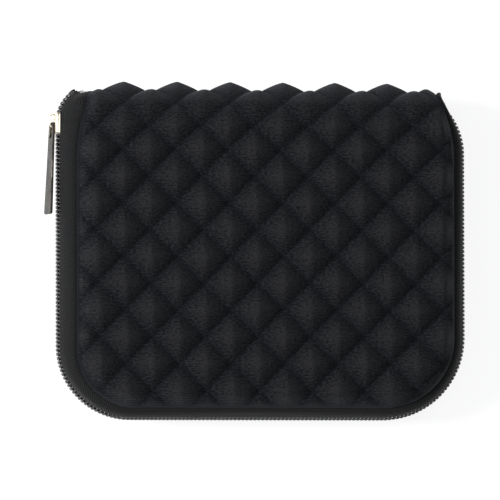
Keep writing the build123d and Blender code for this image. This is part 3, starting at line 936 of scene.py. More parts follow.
@dataclass
class ZipHalf:
    """One half of the zip: woven tape from the coil to the quilt's seam, and a row of coil loops."""

    form: CaseForm
    half: Half
    pitch: float = 1.52 * MM
    wire: float = 0.34 * MM
    loop_out: float = 0.62 * MM
    loop_long: float = 1.72 * MM
    loop_middle: float = 1.28 * MM
    lean: float = 0.30
    tape_start: float = 0.35 * MM
    coil_edge: float = 3.1 * MM
    tape_thickness: float = 0.55 * MM
    tuck: float = 1.6 * MM
    stations: int = 460
    stitch_half: float = 0.62 * MM
    stitch_radius: float = 0.20 * MM
    stitch_out: float = 1.38 * MM
    stitch_rise: float = 2.25 * MM
    first_loop: float = 0.9 * MM
    last_loop: float = 0.8 * MM

    def seam_line(self, u: Array) -> tuple[Array, Array]:
        """Plan places and unrolled distances of the quilt's seam beside each rim parameter."""
        form = self.form
        spot, _ = form.rim(u, form.seam_inset(u))
        begin_left, begin_right = form.centres[0, 1], form.centres[-1, 1]
        s = spot[:, 1].copy()
        s = np.where(u < 1, begin_left + (form.nose - begin_left) * (1 - u), s)
        s = np.where(u > 6, begin_right + (form.nose - begin_right) * (u - 6), s)
        x = spot[:, 0].copy()
        x = np.where(u < 3, form.seam_x(s, -1), x)
        x = np.where(u > 4, form.seam_x(s, 1), x)
        return x, s

    def tape_surface(self) -> tuple[Array, Array]:
        """The tape's outer face: upright behind the coil, then a rounded slope to the seam, then tucked in.

        Between the coil's edge C and the seam Q the plan goes as C + (Q - C) e1 and the height as e2,
        where e1 and e2 mix a straight slope with a quarter of an ellipse. Close to the seam it dips by
        the groove's depth times the tenth power of the way there.

        Returns:
            Points (stations, across, 3) and cloth coordinates (stations, across, 2).
        """
        form, side = self.form, self.half.value
        u = form.rim_at(np.linspace(0, form.marks[-1], self.stations))
        outer, normal = form.rim(u)
        x, s = self.seam_line(u)
        seam = form.place(x, s, -form.edge_drop(s), self.half)
        wobble = 0.22 * MM * np.sin(np.linspace(0, form.marks[-1], self.stations) / (17 * MM))
        w = np.linspace(0, 1, 13)[None, :, None]
        e1 = 0.55 * (1 - np.cos(w * math.pi / 2)) + 0.45 * w
        e2 = 0.55 * np.sin(w * math.pi / 2) + 0.45 * w
        foot = np.concatenate([outer, np.full((len(u), 1), form.mid_z + side * self.coil_edge)], axis=1)
        reach = seam - foot
        slope = foot[:, None, :] + reach[:, None, :] * np.concatenate([e1, e1, e2], axis=2)
        bulge = np.sin(w * math.pi)[..., 0] * (0.25 * MM + wobble[:, None])
        slope[..., :2] += normal[:, None, :] * bulge[..., None]
        slope[..., 2] -= side * form.groove * w[..., 0] ** 10
        upright = np.repeat(foot[:, None, :], 3, axis=1)
        upright[..., 2] = form.mid_z + side * np.linspace(self.tape_start, self.coil_edge, 4)[None, :3]
        inward = unit(reach * np.array([1.0, 1.0, 0.0]))
        step = np.linspace(0, 1, 4)[None, 1:, None] * self.tuck
        tucked = slope[:, -1:, :] + inward[:, None, :] * step
        tucked[..., 2] -= side * 0.5 * step[..., 0]
        points = np.concatenate([upright, slope, tucked], axis=1)
        width = np.concatenate([np.zeros((len(u), 1)),
                                np.cumsum(np.linalg.norm(np.diff(points, axis=1), axis=2), axis=1)], axis=1)
        length = np.broadcast_to(np.linspace(0, form.marks[-1], self.stations)[:, None], width.shape)
        return points, np.stack([length, width], axis=-1)

    def build_tape(self, finishes: Finishes) -> bpy.types.Object:
        """Makes the tape as a thin closed sheet.

        Args:
            finishes: The case's materials.

        Returns:
            The tape's piece.
        """
        outer, cloth = self.tape_surface()
        normal = surface_normals(outer) * (-self.half.value)
        inner = outer + normal * self.tape_thickness
        shape = closed_sheet(outer, inner, cloth)
        piece = make_piece(f"{self.half.body}_zip_tape", shape if self.half is Half.LID else shape.flipped(),
                           finishes.tape)
        self.form.bend(piece, self.half)
        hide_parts(f"{self.half.body}_tape")
        return piece

    def loop(self) -> Shape:
        """One coil loop: a thin tube round an upright ellipse that leans along the zip.

        Its middle line is (lean * height, out, height), with height and out the ellipse's cosine and sine.
        """
        t = (2 * math.pi * np.arange(12) / 12)[:, None]
        f = (2 * math.pi * np.arange(6) / 6)[None, :]
        rise, out = self.loop_long * np.cos(t), self.loop_out * np.sin(t)
        radial = unit(np.concatenate([np.sin(t) * self.loop_long, np.cos(t) * self.loop_out], axis=1))
        ro, rz = radial[:, :1], radial[:, 1:]
        a = self.lean * rise + self.wire * np.sin(f)
        b = out + self.loop_out + self.wire * np.cos(f) * ro
        c = rise + self.loop_middle + self.wire * np.cos(f) * rz
        points = np.stack(np.broadcast_arrays(a, b, c), axis=-1)
        return Shape(points.reshape(-1, 3), grid_quads(12, 6, True, True)[:, ::-1])

    def stitch(self) -> Shape:
        """One stitch of the thread that sews the coil down: a small spindle along the zip."""
        t = np.linspace(0, math.pi, 6)[:, None]
        f = (2 * math.pi * np.arange(5) / 5)[None, :]
        long = -self.stitch_half * np.cos(t)
        r = self.stitch_radius * np.sin(np.clip(t, 0.25, math.pi - 0.25))
        out = self.stitch_out + r * np.cos(f)
        rise = self.stitch_rise + r * np.sin(f) + self.lean * long
        points = np.stack(np.broadcast_arrays(long, out, rise), axis=-1)
        return tube(points)

    def build_coil(self, finishes: Finishes) -> list[bpy.types.Object]:
        """Makes the row of loops, and on the lid the loops that the parked slider holds.

        Args:
            finishes: The case's materials.

        Returns:
            The pieces.
        """
        form, side = self.form, self.half.value
        offset = self.first_loop + (0 if self.half is Half.LID else self.pitch / 2)
        distance = np.arange(offset, form.marks[-1] - self.last_loop, self.pitch)
        u = form.rim_at(distance)
        spot, normal = form.rim(u)
        n = len(u)
        origins = np.concatenate([spot, np.full((n, 1), form.mid_z)], axis=1)
        along = np.stack([-normal[:, 1], normal[:, 0], np.zeros(n)], axis=1)
        out = np.concatenate([normal, np.zeros((n, 1))], axis=1)
        rise = np.tile([0.0, 0.0, side], (n, 1))
        axes = np.stack([along, out, rise], axis=1)
        low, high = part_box("coil_in_slider")
        held = (spot[:, 1] > low.y) & (spot[:, 1] < high.y) & (spot[:, 0] < 0)
        unit_shape = self.loop().joined(self.stitch())
        pieces = []
        free = ~held if self.half is Half.LID else np.ones(n, bool)
        row = make_piece(f"{self.half.body}_coil_row", placed_copies(unit_shape, origins[free], axes[free]),
                         finishes.coil)
        form.bend(row, self.half)
        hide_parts(f"{self.half.body}_coil")
        pieces.append(row)
        if self.half is Half.LID:
            bit = make_piece("coil_loops_in_slider", placed_copies(unit_shape, origins[held], axes[held]),
                             finishes.coil)
            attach(bit, "base")
            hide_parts("coil_in_slider")
            pieces.append(bit)
        return pieces


@dataclass
class Slider:
    """Slider with its bridge: a shell over the coil, an inner plate, a web between the rows."""

    form: CaseForm
    length: float = 8.2 * MM
    front_half: float = 4.15 * MM
    rear_half: float = 4.5 * MM
    end_taper: float = 0.35 * MM
    crown: float = 0.18 * MM
    web_half: float = 0.28 * MM
    web_long: float = 1.7 * MM
    shell: float = 0.62 * MM
    flange: float = 0.60 * MM
    top: float = 2.45 * MM
    inner_plate: float = 2.15 * MM
    inner_plate_half: float = 3.5 * MM
    bridge_half: float = 0.85 * MM
    bridge_wire: float = 0.30 * MM

    def at(self, along: Array, out: Array, across: Array) -> Array:
        """Points from a place along the zip, a distance out of the tape and one from the middle plane."""
        low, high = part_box("slider_body")
        middle = (low.y + high.y) / 2
        form = self.form
        return np.stack(np.broadcast_arrays(form.left - out, middle + along, form.mid_z + across), axis=-1)

    def build_body(self, finishes: Finishes) -> bpy.types.Object:
        """Makes the shell: a bowed C section carried along the zip, wider at its mouth, with rounded ends.

        Args:
            finishes: The case's materials.

        Returns:
            The slider's piece.
        """
        t = np.linspace(-1, 1, 25)[:, None]
        half = self.front_half + (self.rear_half - self.front_half) * ease((t + 1) / 1.5)
        end = np.sqrt(np.clip(1 - np.clip((np.abs(t) - 0.78) / 0.22, 0, 1) ** 2, 0.02, 1))
        half = half - self.end_taper * (1 - end)
        wall = self.shell * (0.25 + 0.75 * end)
        a = np.linspace(0, math.pi, 17)[None, :]
        c = np.sign(np.cos(a)) * np.sqrt(np.abs(np.cos(a)))
        s = np.sqrt(np.abs(np.sin(a)))
        crown = self.crown * end * (1 - c * c)
        outer_across = half * c
        outer_out = self.flange + (self.top - self.shell - self.flange + wall) * s + crown
        inner_across = (half - wall) * c[:, ::-1]
        inner_out = self.flange + (self.top - self.shell - self.flange) * s[:, ::-1] + 0 * t
        across = np.concatenate([outer_across, inner_across], axis=1)
        out = np.concatenate([outer_out, inner_out], axis=1)
        rings = self.at(t * self.length / 2, out, across)
        shell = tube(rings[:, ::-1])
        plate = self.rounded_plate(self.length / 2, self.inner_plate_half, -self.inner_plate, 0.35 * MM)
        web = self.rounded_plate(self.web_long, self.web_half, 0.0, 2.0 * MM, along=self.web_long)
        piece = make_piece("slider_shell", shell.joined(plate, web), finishes.gold, sharp_angle=50)
        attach(piece, "slider")
        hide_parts("slider_body")
        return piece

    def rounded_plate(self, half_long: float, half_wide: float, out: float, half_thick: float,
                      along: float = 0.0) -> Shape:
        """A flat plate with a rounded outline and rounded edges.

        Rings of the outline go from the middle of one face over the edge, as a quarter circle each way,
        to the middle of the other.

        Args:
            half_long: Half its length along the zip.
            half_wide: Half its width.
            out: Its middle's distance out of the tape.
            half_thick: Half its thickness.
            along: Its middle's place along the zip.

        Returns:
            The closed shape.
        """
        outline = superellipse(40, 1.0, 1.0, 4.0)
        t = np.linspace(-math.pi / 2, math.pi / 2, 9)[:, None]
        edge = min(half_thick, half_wide) * 0.8
        long = (half_long - edge * (1 - np.cos(t))) * outline[None, :, 0]
        wide = (half_wide - edge * (1 - np.cos(t)) * 0.9) * outline[None, :, 1]
        rings = self.at(along + long, out - half_thick * np.sin(t), wide)
        return tube(rings)

    def build_bridge(self, finishes: Finishes) -> bpy.types.Object:
        """Makes the bridge: a flat rounded section carried over a squarish arch.

        Args:
            finishes: The case's materials.

        Returns:
            The bridge's piece.
        """
        low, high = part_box("slider_bridge")
        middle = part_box("slider_body")
        shift = (low.y + high.y) / 2 - (middle[0].y + middle[1].y) / 2
        rise = self.form.left - low.x - self.top + 0.25 * MM
        half_long = (high.y - low.y) / 2 - self.bridge_wire
        t = np.linspace(0, math.pi, 33)[:, None]
        power = 0.62
        y = shift + half_long * np.sign(np.cos(t)) * np.abs(np.cos(t)) ** power
        o = self.top - 0.55 * MM + rise * np.abs(np.sin(t)) ** power
        path = np.concatenate([y, o], axis=1)
        tangent = unit(np.gradient(path, axis=0))
        section = superellipse(14, self.bridge_wire, self.bridge_half, 3.0)
        along = y + tangent[:, 1:] * section[None, :, 0]
        out = o - tangent[:, :1] * section[None, :, 0]
        rings = self.at(along, out, np.broadcast_to(section[None, :, 1], along.shape))
        piece = make_piece("slider_crown", tube(rings), finishes.gold, sharp_angle=60)
        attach(piece, "slider")
        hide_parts("slider_bridge")
        return piece


@dataclass
class PullTab:
    """Tapered tab with a window round the slider's bridge."""

    form: CaseForm
    top_half: float = 2.6 * MM
    end_half: float = 4.4 * MM
    window_half: float = 1.45 * MM
    window: float = 5.4 * MM
    thickness: float = 0.9 * MM
    tilt_deg: float = 2.5
    roll_deg: float = 9.0
    bevel: float = 0.16 * MM
    corner: float = 0.9 * MM
    end_corner: float = 1.1 * MM
    window_corner: float = 0.5 * MM

    def rounded_outline(self, corners: Sequence[tuple[float, float]], radii: Sequence[float],
                        count: int) -> Array:
        """Outline of a polygon with rounded corners, evenly spaced from the middle of its first side.

        Each corner is a quadratic curve between the points a radius away from it on its two sides.

        Args:
            corners: The polygon's corners, in order.
            radii: Rounding at each corner.
            count: Number of points.

        Returns:
            Points (count, 2).
        """
        c = np.array(corners)
        back, ahead = unit(np.roll(c, 1, axis=0) - c), unit(np.roll(c, -1, axis=0) - c)
        r = np.array(radii)[:, None]
        t = np.linspace(0, 1, 9)[None, :, None]
        a, b = (c + back * r)[:, None, :], (c + ahead * r)[:, None, :]
        curve = (a * (1 - t) ** 2 + 2 * c[:, None, :] * t * (1 - t) + b * t ** 2).reshape(-1, 2)
        start = ((c[0] + c[-1]) / 2)[None]
        line = np.concatenate([start, curve, start])
        run = np.concatenate([[0], np.cumsum(np.linalg.norm(np.diff(line, axis=0), axis=1))])
        at = np.linspace(0, run[-1], count, endpoint=False)
        return np.stack([np.interp(at, run, line[:, k]) for k in (0, 1)], axis=1)

    def moved_out(self, line: Array, distance: float) -> Array:
        """An outline moved away from its middle by a distance, or towards it by a negative one."""
        return line + unit(line - line.mean(axis=0)) * distance

    def build(self, finishes: Finishes) -> bpy.types.Object:
        """Makes the tab: rings go from its outer edge over one face to the window and back over the other.

        Args:
            finishes: The case's materials.

        Returns:
            The tab's piece.
        """
        joint = next(j for j in frame["joints"] if j["name"] == "pull_tab_swing")
        pivot = np.array(joint["pos_m"])
        low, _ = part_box("pull_tab")
        reach = (pivot[1] - low.y) / math.cos(math.radians(self.tilt_deg)) - 0.1 * MM
        bar = self.thickness / 2
        a, b = self.top_half, self.end_half
        outer_corners = [(-bar, -a), (reach, -b), (reach, b), (-bar, a)]
        w, end = self.window_half, self.window
        inner_corners = [(bar, -w), (end, -w), (end, w), (bar, w)]
        count = 120
        radii = self.corner, self.end_corner, self.end_corner, self.corner
        outer = self.rounded_outline(outer_corners, radii, count)
        inner = self.rounded_outline(inner_corners, [self.window_corner] * 4, count)
        h, e = self.thickness / 2, self.bevel
        smaller, wider = self.moved_out(outer, -e), self.moved_out(inner, e)
        rings = [(smaller, -h), (outer, -h + e), (outer, h - e), (smaller, h),
                 (wider, h), (inner, h - e), (inner, -h + e), (wider, -h)]
        tilt = math.radians(self.tilt_deg)
        down = np.array([-math.sin(tilt), -math.cos(tilt), 0.0])
        roll = math.radians(self.roll_deg)
        flat = np.array([-math.cos(tilt), math.sin(tilt), 0.0])
        out = flat * math.cos(roll) + np.array([0.0, 0.0, math.sin(roll)])
        up = np.array([0.0, 0.0, math.cos(roll)]) - flat * math.sin(roll)
        points = np.stack([pivot + r[:, :1] * down + r[:, 1:] * up + d * out for r, d in rings])
        shape = Shape(points.reshape(-1, 3), grid_quads(len(rings), count, True, True))
        # The tab's dark colour is a painted reflection of the black case.
        piece = make_piece("tab_plate", shape, finishes.gunmetal_and_painted_reflection, sharp_angle=35)
        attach(piece, "pull_tab")
        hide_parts("pull_tab")
        return piece


# ---------------------------------------------------------------- inside: linings and fittings


def lathe(profile: Array, centre: Array, count: int = 28) -> Shape:
    """A closed shape turned about an upright axis: radius * (cos a, sin a) at each height of the profile.

    Args:
        profile: Radii and heights (n, 2), from one pole to the other, going up on the outside.
        centre: The axis's foot (3).
        count: Points in a turn.

    Returns:
        The closed shape.
    """
    a = (2 * math.pi * np.arange(count) / count)[None, :]
    r, z = profile[:, :1], profile[:, 1:]
    rings = np.stack(np.broadcast_arrays(r * np.cos(a), r * np.sin(a), z), axis=-1) + centre
    return tube(rings[:, ::-1] if profile[0, 1] > profile[-1, 1] else rings)


def spindles(starts: Array, ends: Array, lift: Array, radius: float) -> Shape:
    """Stitches: spindles from start to end whose middle stands off along lift by their radius.

    Args:
        starts: Where each stitch comes out (n, 3).
        ends: Where it goes back in (n, 3).
        lift: Unit direction away from the cloth (n, 3).
        radius: Half the thread's thickness.

    Returns:
        All stitches as one shape.
    """
    t = np.linspace(0, math.pi, 6)[:, None]
    f = (2 * math.pi * np.arange(5) / 5)[None, :]
    r = np.sin(np.clip(t, 0.3, math.pi - 0.3))
    grid = np.stack(np.broadcast_arrays(-np.cos(t), r * np.cos(f), r * np.sin(f) + 0.6 * np.sin(t)), axis=-1)
    small = tube(grid)
    half = (ends - starts) / 2
    side = unit(np.cross(lift, half)) * radius
    return placed_copies(small, (starts + ends) / 2, np.stack([half, side, lift * radius], axis=1))


@dataclass
class Lining:
    """Velvet lining of one half, from the seam to the middle of the spine, its binding and the stitches."""

    form: CaseForm
    half: Half
    thickness: float = 0.8 * MM
    inset: float = 3.1 * MM
    flat_radius: float = 7.4 * MM
    spine_radius: float = 7.5 * MM
    binding_width: float = 3.0 * MM
    binding_height: float = 1.45 * MM
    binding_inset: float = 2.2 * MM
    stitch_pitch: float = 2.6 * MM
    stations: int = 420
    straight_y: float = 15.0 * MM

    def cloth_at(self, x: Array, s: Array) -> Array:
        """Points of the lining's inner face: the section at the lining's radius, with shallow puckers."""
        form = self.form
        turn = ease((s - form.spine_y) / form.spine_radius)
        radius = self.flat_radius + (self.spine_radius - self.flat_radius) * turn
        pucker = np.sin(x / (7 * MM) + 0.8 * np.sin(s / (9 * MM))) * np.sin(s / (8.3 * MM) + 1.1)
        edge = np.minimum(x - form.seam_x(s, -1, self.inset), form.seam_x(s, 1, self.inset) - x)
        rise = 0.35 * MM * (1 - ease(edge / (5 * MM)))
        return form.place(x, s, radius - form.spine_radius - 0.10 * MM * pucker - rise, self.half)

    def build_cloth(self, finishes: Finishes) -> bpy.types.Object:
        """Makes the velvet as a thin closed sheet.

        Args:
            finishes: The case's materials.

        Returns:
            The lining's piece.
        """
        form = self.form
        x, s = form.panel(self.inset, 120, 7, 4.0 * MM)
        inner = self.cloth_at(x, s)
        normal = surface_normals(inner) * self.half.value
        outer = inner + normal * self.thickness
        shape = closed_sheet(outer, inner, np.stack([x, s], axis=-1))
        if self.half is Half.BASE:
            shape = shape.flipped()
        piece = make_piece(f"{self.half.body}_velvet_lining", shape, finishes.velvet)
        form.bend(piece, self.half)
        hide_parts(f"{self.half.body}_lining", "spine_lining")
        return piece

    def seam_shift(self, plan: Array) -> Array:
        """How far sideways the binding moves so as to stay inside the quilt's seam near the spine.

        Args:
            plan: Points (n, 2) of the binding's middle.

        Returns:
            Shifts along x, positive on the left and negative on the right.
        """
        inside = self.binding_inset
        left = self.form.seam_x(plan[:, 1], -1) + inside - plan[:, 0]
        right = self.form.seam_x(plan[:, 1], 1) - inside - plan[:, 0]
        shift = np.where(plan[:, 0] < 0, np.maximum(left, 0), np.minimum(right, 0))
        return shift * (np.abs(plan[:, 1]) > self.straight_y)

    def build_binding(self, finishes: Finishes) -> list[bpy.types.Object]:
        """Makes the binding, a low rounded ridge carried along the seam, and its row of stitches.

        Args:
            finishes: The case's materials.

        Returns:
            The binding's and the stitches' pieces.
        """
        form, side = self.form, self.half.value
        distance = np.linspace(6 * MM, form.marks[-1] - 6 * MM, self.stations)
        u = form.rim_at(distance)
        base = form.seam_inset(u) + self.binding_inset
        shift = self.seam_shift(form.rim(u, base)[0])
        a = (2 * math.pi * np.arange(16) / 16)[None, :]
        across = self.binding_width / 2 * np.cos(a)
        up = np.maximum(np.sin(a), -0.3) * self.binding_height / 1.3
        ripple = 0.05 * MM * np.sin(distance / (1.9 * MM))[:, None]
        spot = np.stack([form.rim(u, base + across[0, k])[0] for k in range(16)], axis=1)
        spot[..., 0] += shift[:, None]
        floor = form.mid_z + side * (form.spine_radius - 3.35 * MM)
        height = np.broadcast_to(floor - side * (up + 0.35 * MM) + ripple, spot.shape[:2])
        rings = np.concatenate([spot, height[..., None]], axis=2)
        shape = tube(rings[:, ::-1] if self.half is Half.LID else rings)
        cloth = np.broadcast_arrays(distance[:, None], a * self.binding_width / 2)
        shape.cloth = np.stack(cloth, axis=-1).reshape(-1, 2)
        binding = make_piece(f"{self.half.body}_seam_binding", shape, finishes.binding)
        form.bend(binding, self.half)
        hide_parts(f"{self.half.body}_binding")
        at = np.arange(8 * MM, form.marks[-1] - 8 * MM, self.stitch_pitch)
        ends = []
        for shift in (0.0, self.stitch_pitch * 0.68):
            w = form.rim_at(at + shift)
            plan, _ = form.rim(w, form.seam_inset(w) + self.binding_inset + self.binding_width * 0.26)
            plan[:, 0] += self.seam_shift(form.rim(w, form.seam_inset(w) + self.binding_inset)[0])
            ends.append(np.concatenate([plan, np.full((len(w), 1), floor - side * 1.22 * MM)], axis=1))
        lift = np.tile([0.0, 0.0, -side], (len(at), 1))
        threads = spindles(ends[0], ends[1], lift, 0.17 * MM)
        stitches = make_piece(f"{self.half.body}_binding_stitches", threads, finishes.dark_thread)
        form.bend(stitches, self.half)
        return [binding, stitches]


@dataclass
class RingRolls:
    """Padded velvet rolls that rings are pushed between."""

    form: CaseForm
    count: int = 3
    end_round: float = 3.2 * MM

    def build(self, finishes: Finishes) -> list[bpy.types.Object]:
        """Makes each roll: rings round a line, closing to a gathered point at each end.

        A ring's radius is the roll's times a superellipse of its place along, with shallow pleats that
        die away from the ends, a slow swell along the roll and a flat where it lies on the lining.

        Args:
            finishes: The case's materials.

        Returns:
            The rolls' pieces.
        """
        pieces = []
        for index in range(1, self.count + 1):
            low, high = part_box(f"ring_roll_{index}")
            radius = (high.x - low.x) / 2
            x, z = (low.x + high.x) / 2, high.z - radius
            t = np.sin(np.linspace(-math.pi / 2, math.pi / 2, 150))[:, None]
            y = (low.y + high.y) / 2 + t * (high.y - low.y) / 2
            from_end = (1 - np.abs(t)) * (high.y - low.y) / 2
            close = np.sqrt(np.clip(1 - (1 - np.clip(from_end / self.end_round, 0, 1)) ** 2, 0, 1))
            close = 0.06 + 0.94 * close
            a = (2 * math.pi * np.arange(64) / 64)[None, :]
            pleat = 1 - 0.035 * (0.5 + 0.5 * np.cos(11 * a + index)) * np.exp(-from_end / (4.5 * MM))
            swell = 1 - 0.018 - 0.018 * np.sin(y / (13 * MM) + 2.1 * index) * (0.6 + 0.4 * np.cos(a))
            r = radius * close * pleat * swell
            px = x + r * np.cos(a)
            pz = np.maximum(z + r * np.sin(a), low.z + 0.02 * MM)
            rings = np.stack(np.broadcast_arrays(px, y, pz), axis=-1)
            piece = make_piece(f"ring_roll_pad_{index}", tube(rings[:, ::-1]), finishes.velvet)
            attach(piece, "base")
            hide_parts(f"ring_roll_{index}")
            pieces.append(piece)
        return pieces


@dataclass
class Dividers:
    """Padded velvet walls between the compartments, each with a piped top edge."""

    form: CaseForm
    names: tuple[str, ...] = ("divider_beside_rolls", "divider_across", "divider_rear")
    piping: float = 0.75 * MM

    def build(self, finishes: Finishes) -> list[bpy.types.Object]:
        """Makes each wall: a pillow section carried along its length, and a cord of piping on top.

        The section is a superellipse that is fullest at mid-height; its width swells and sinks slowly
        along the wall and draws in at both ends.

        Args:
            finishes: The case's materials.

        Returns:
            The walls' pieces.
        """
        pieces = []
        for number, name in enumerate(self.names):
            low, high = (np.array(corner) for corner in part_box(name))
            size = high - low
            run = 0 if size[0] > size[1] else 1
            wide = 1 - run
            t = np.sin(np.linspace(-math.pi / 2, math.pi / 2, 110))[:, None]
            from_end = (1 - np.abs(t)) * size[run] / 2
            close = np.sqrt(np.clip(1 - (1 - np.clip(from_end / (1.6 * MM), 0, 1)) ** 2, 0, 1))
            full = 0.93 + 0.05 * np.sin(t * size[run] / 2 / (8 * MM) + number)
            section = superellipse(40, size[wide] / 2, (size[2] - self.piping) / 2, 3.2)
            middle = (low + high) / 2
            rings = np.empty((110, 40, 3))
            rings[..., run] = middle[run] + t * size[run] / 2
            rings[..., wide] = middle[wide] + section[None, :, 0] * full * (0.15 + 0.85 * close)
            rings[..., 2] = (low[2] + (size[2] - self.piping) / 2
                             + section[None, :, 1] * (0.25 + 0.75 * close) * (1 - 0.02 * (1 - full)))
            rings[..., 2] = np.maximum(rings[..., 2], low[2] + 0.02 * MM)
            shape = tube(rings[:, ::-1] if run == 1 else rings)
            cord = superellipse(12, self.piping, self.piping, 2.0)
            top = np.empty((110, 12, 3))
            top[..., run] = middle[run] + t * (size[run] / 2 - 1.0 * MM)
            top[..., wide] = middle[wide] + cord[None, :, 0] * (0.2 + 0.8 * close)
            twist = 0.05 * MM * np.sin(t * size[run] / (0.9 * MM) + 3 * np.arange(12)[None, :] / 12)
            top[..., 2] = high[2] - self.piping + cord[None, :, 1] * (0.2 + 0.8 * close) + twist
            shape = shape.joined(tube(top[:, ::-1] if run == 1 else top))
            piece = make_piece(f"{name}_pad", shape, finishes.velvet)
            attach(piece, "base")
            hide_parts(name)
            pieces.append(piece)
        return pieces


@dataclass
class LidPocket:
    """Gathered cloth pocket in the lid, with an elastic hem across its mouth."""

    form: CaseForm
    cloth: float = 0.7 * MM
    gather: float = 4.6 * MM
    gather_height: float = 0.45 * MM
    rise: float = 7.0 * MM
    corner: float = 18.0 * MM
    hem_height: float = 1.7 * MM
    fullness: float = 1.12

    def build(self, finishes: Finishes) -> list[bpy.types.Object]:
        """Makes the pocket and its hem.

        The pocket hangs below the lid's lining by its depth times a smooth rise from its three sewn
        edges, with gathers across it that grow towards the mouth. The hem is a ruched tube on its edge.

        Args:
            finishes: The case's materials.

        Returns:
            The pocket's and the hem's pieces.
        """
        low, high = (np.array(corner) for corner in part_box("lid_pocket"))
        hem_low, hem_high = (np.array(corner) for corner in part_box("lid_pocket_hem"))
        depth = high[2] - low[2]
        rows, columns = 90, 260
        v = np.linspace(0, 1, rows)[:, None]
        y = low[1] + (high[1] - low[1]) * v ** 1.25
        into = np.clip((low[1] + self.corner - y) / self.corner, 0, 1)
        inset = self.corner * (1 - np.sqrt(np.clip(1 - into ** 2, 0, 1)))
        even = np.linspace(0, 1, columns)
        h = (0.5 - 0.5 * np.cos(math.pi * even))[None, :] * 0.6 + even * 0.4
        x = low[0] + inset + (high[0] - low[0] - 2 * inset) * h
        side = np.minimum(x - low[0] - inset, high[0] - inset - x)
        lift = np.sqrt(np.clip(1 - (1 - np.clip(side / self.rise, 0, 1)) ** 2, 0, 1))
        front = np.sqrt(np.clip(1 - (1 - np.clip((y - low[1]) / self.rise, 0, 1)) ** 2, 0, 1))
        sway = x + 0.9 * MM * np.sin(y / (9 * MM))
        fold = np.cos(2 * math.pi * sway / self.gather + 1.3 * np.sin(x / (17 * MM)))
        grow = 0.15 + 0.85 * ease((y - low[1]) / (high[1] - low[1]))
        hang = (depth - self.cloth - self.gather_height) * (0.82 + 0.18 * grow)
        z = high[2] - self.cloth - lift * front * (hang + self.gather_height * fold * grow)
        lower = np.stack(np.broadcast_arrays(x, y, z), axis=-1)
        normal = surface_normals(lower)
        upper = lower + normal * self.cloth
        upper[..., 2] = np.minimum(upper[..., 2], high[2] - 0.02 * MM)
        cloth = np.stack(np.broadcast_arrays(x, y), axis=-1)
        pocket = make_piece("lid_pocket_cloth", closed_sheet(upper, lower, cloth), finishes.velvet)
        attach(pocket, "lid")
        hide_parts("lid_pocket")
        edge = lower[-1]
        a = (2 * math.pi * np.arange(14) / 14)[None, :]
        turns = 2 * math.pi * edge[:, :1] / (self.gather / 2)
        pucker = 1 + 0.10 * np.cos(turns + 0.5 * np.sin(edge[:, :1] / (5 * MM)))
        half_deep, half_high = (hem_high[1] - hem_low[1]) / 2, self.hem_height / 2
        close = 0.3 + 0.7 * np.sqrt(np.clip(1 - np.abs(np.linspace(-1, 1, columns))[:, None] ** 12, 0, 1))
        yy = hem_low[1] + half_deep + half_deep * np.cos(a) * close
        zz = edge[:, 2:] + 0.2 * MM + half_high * np.sin(a) * pucker * close
        zz = np.clip(zz, hem_low[2] - 0.2 * MM, hem_high[2] - 0.05 * MM)
        rings = np.stack(np.broadcast_arrays(edge[:, :1], yy, zz), axis=-1)
        shape = tube(rings)
        shape.cloth = np.stack(np.broadcast_arrays(edge[:, :1], a * half_deep), axis=-1).reshape(-1, 2)
        hem = make_piece("pocket_hem", shape, finishes.binding)
        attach(hem, "lid")
        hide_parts("lid_pocket_hem")
        return [pocket, hem]


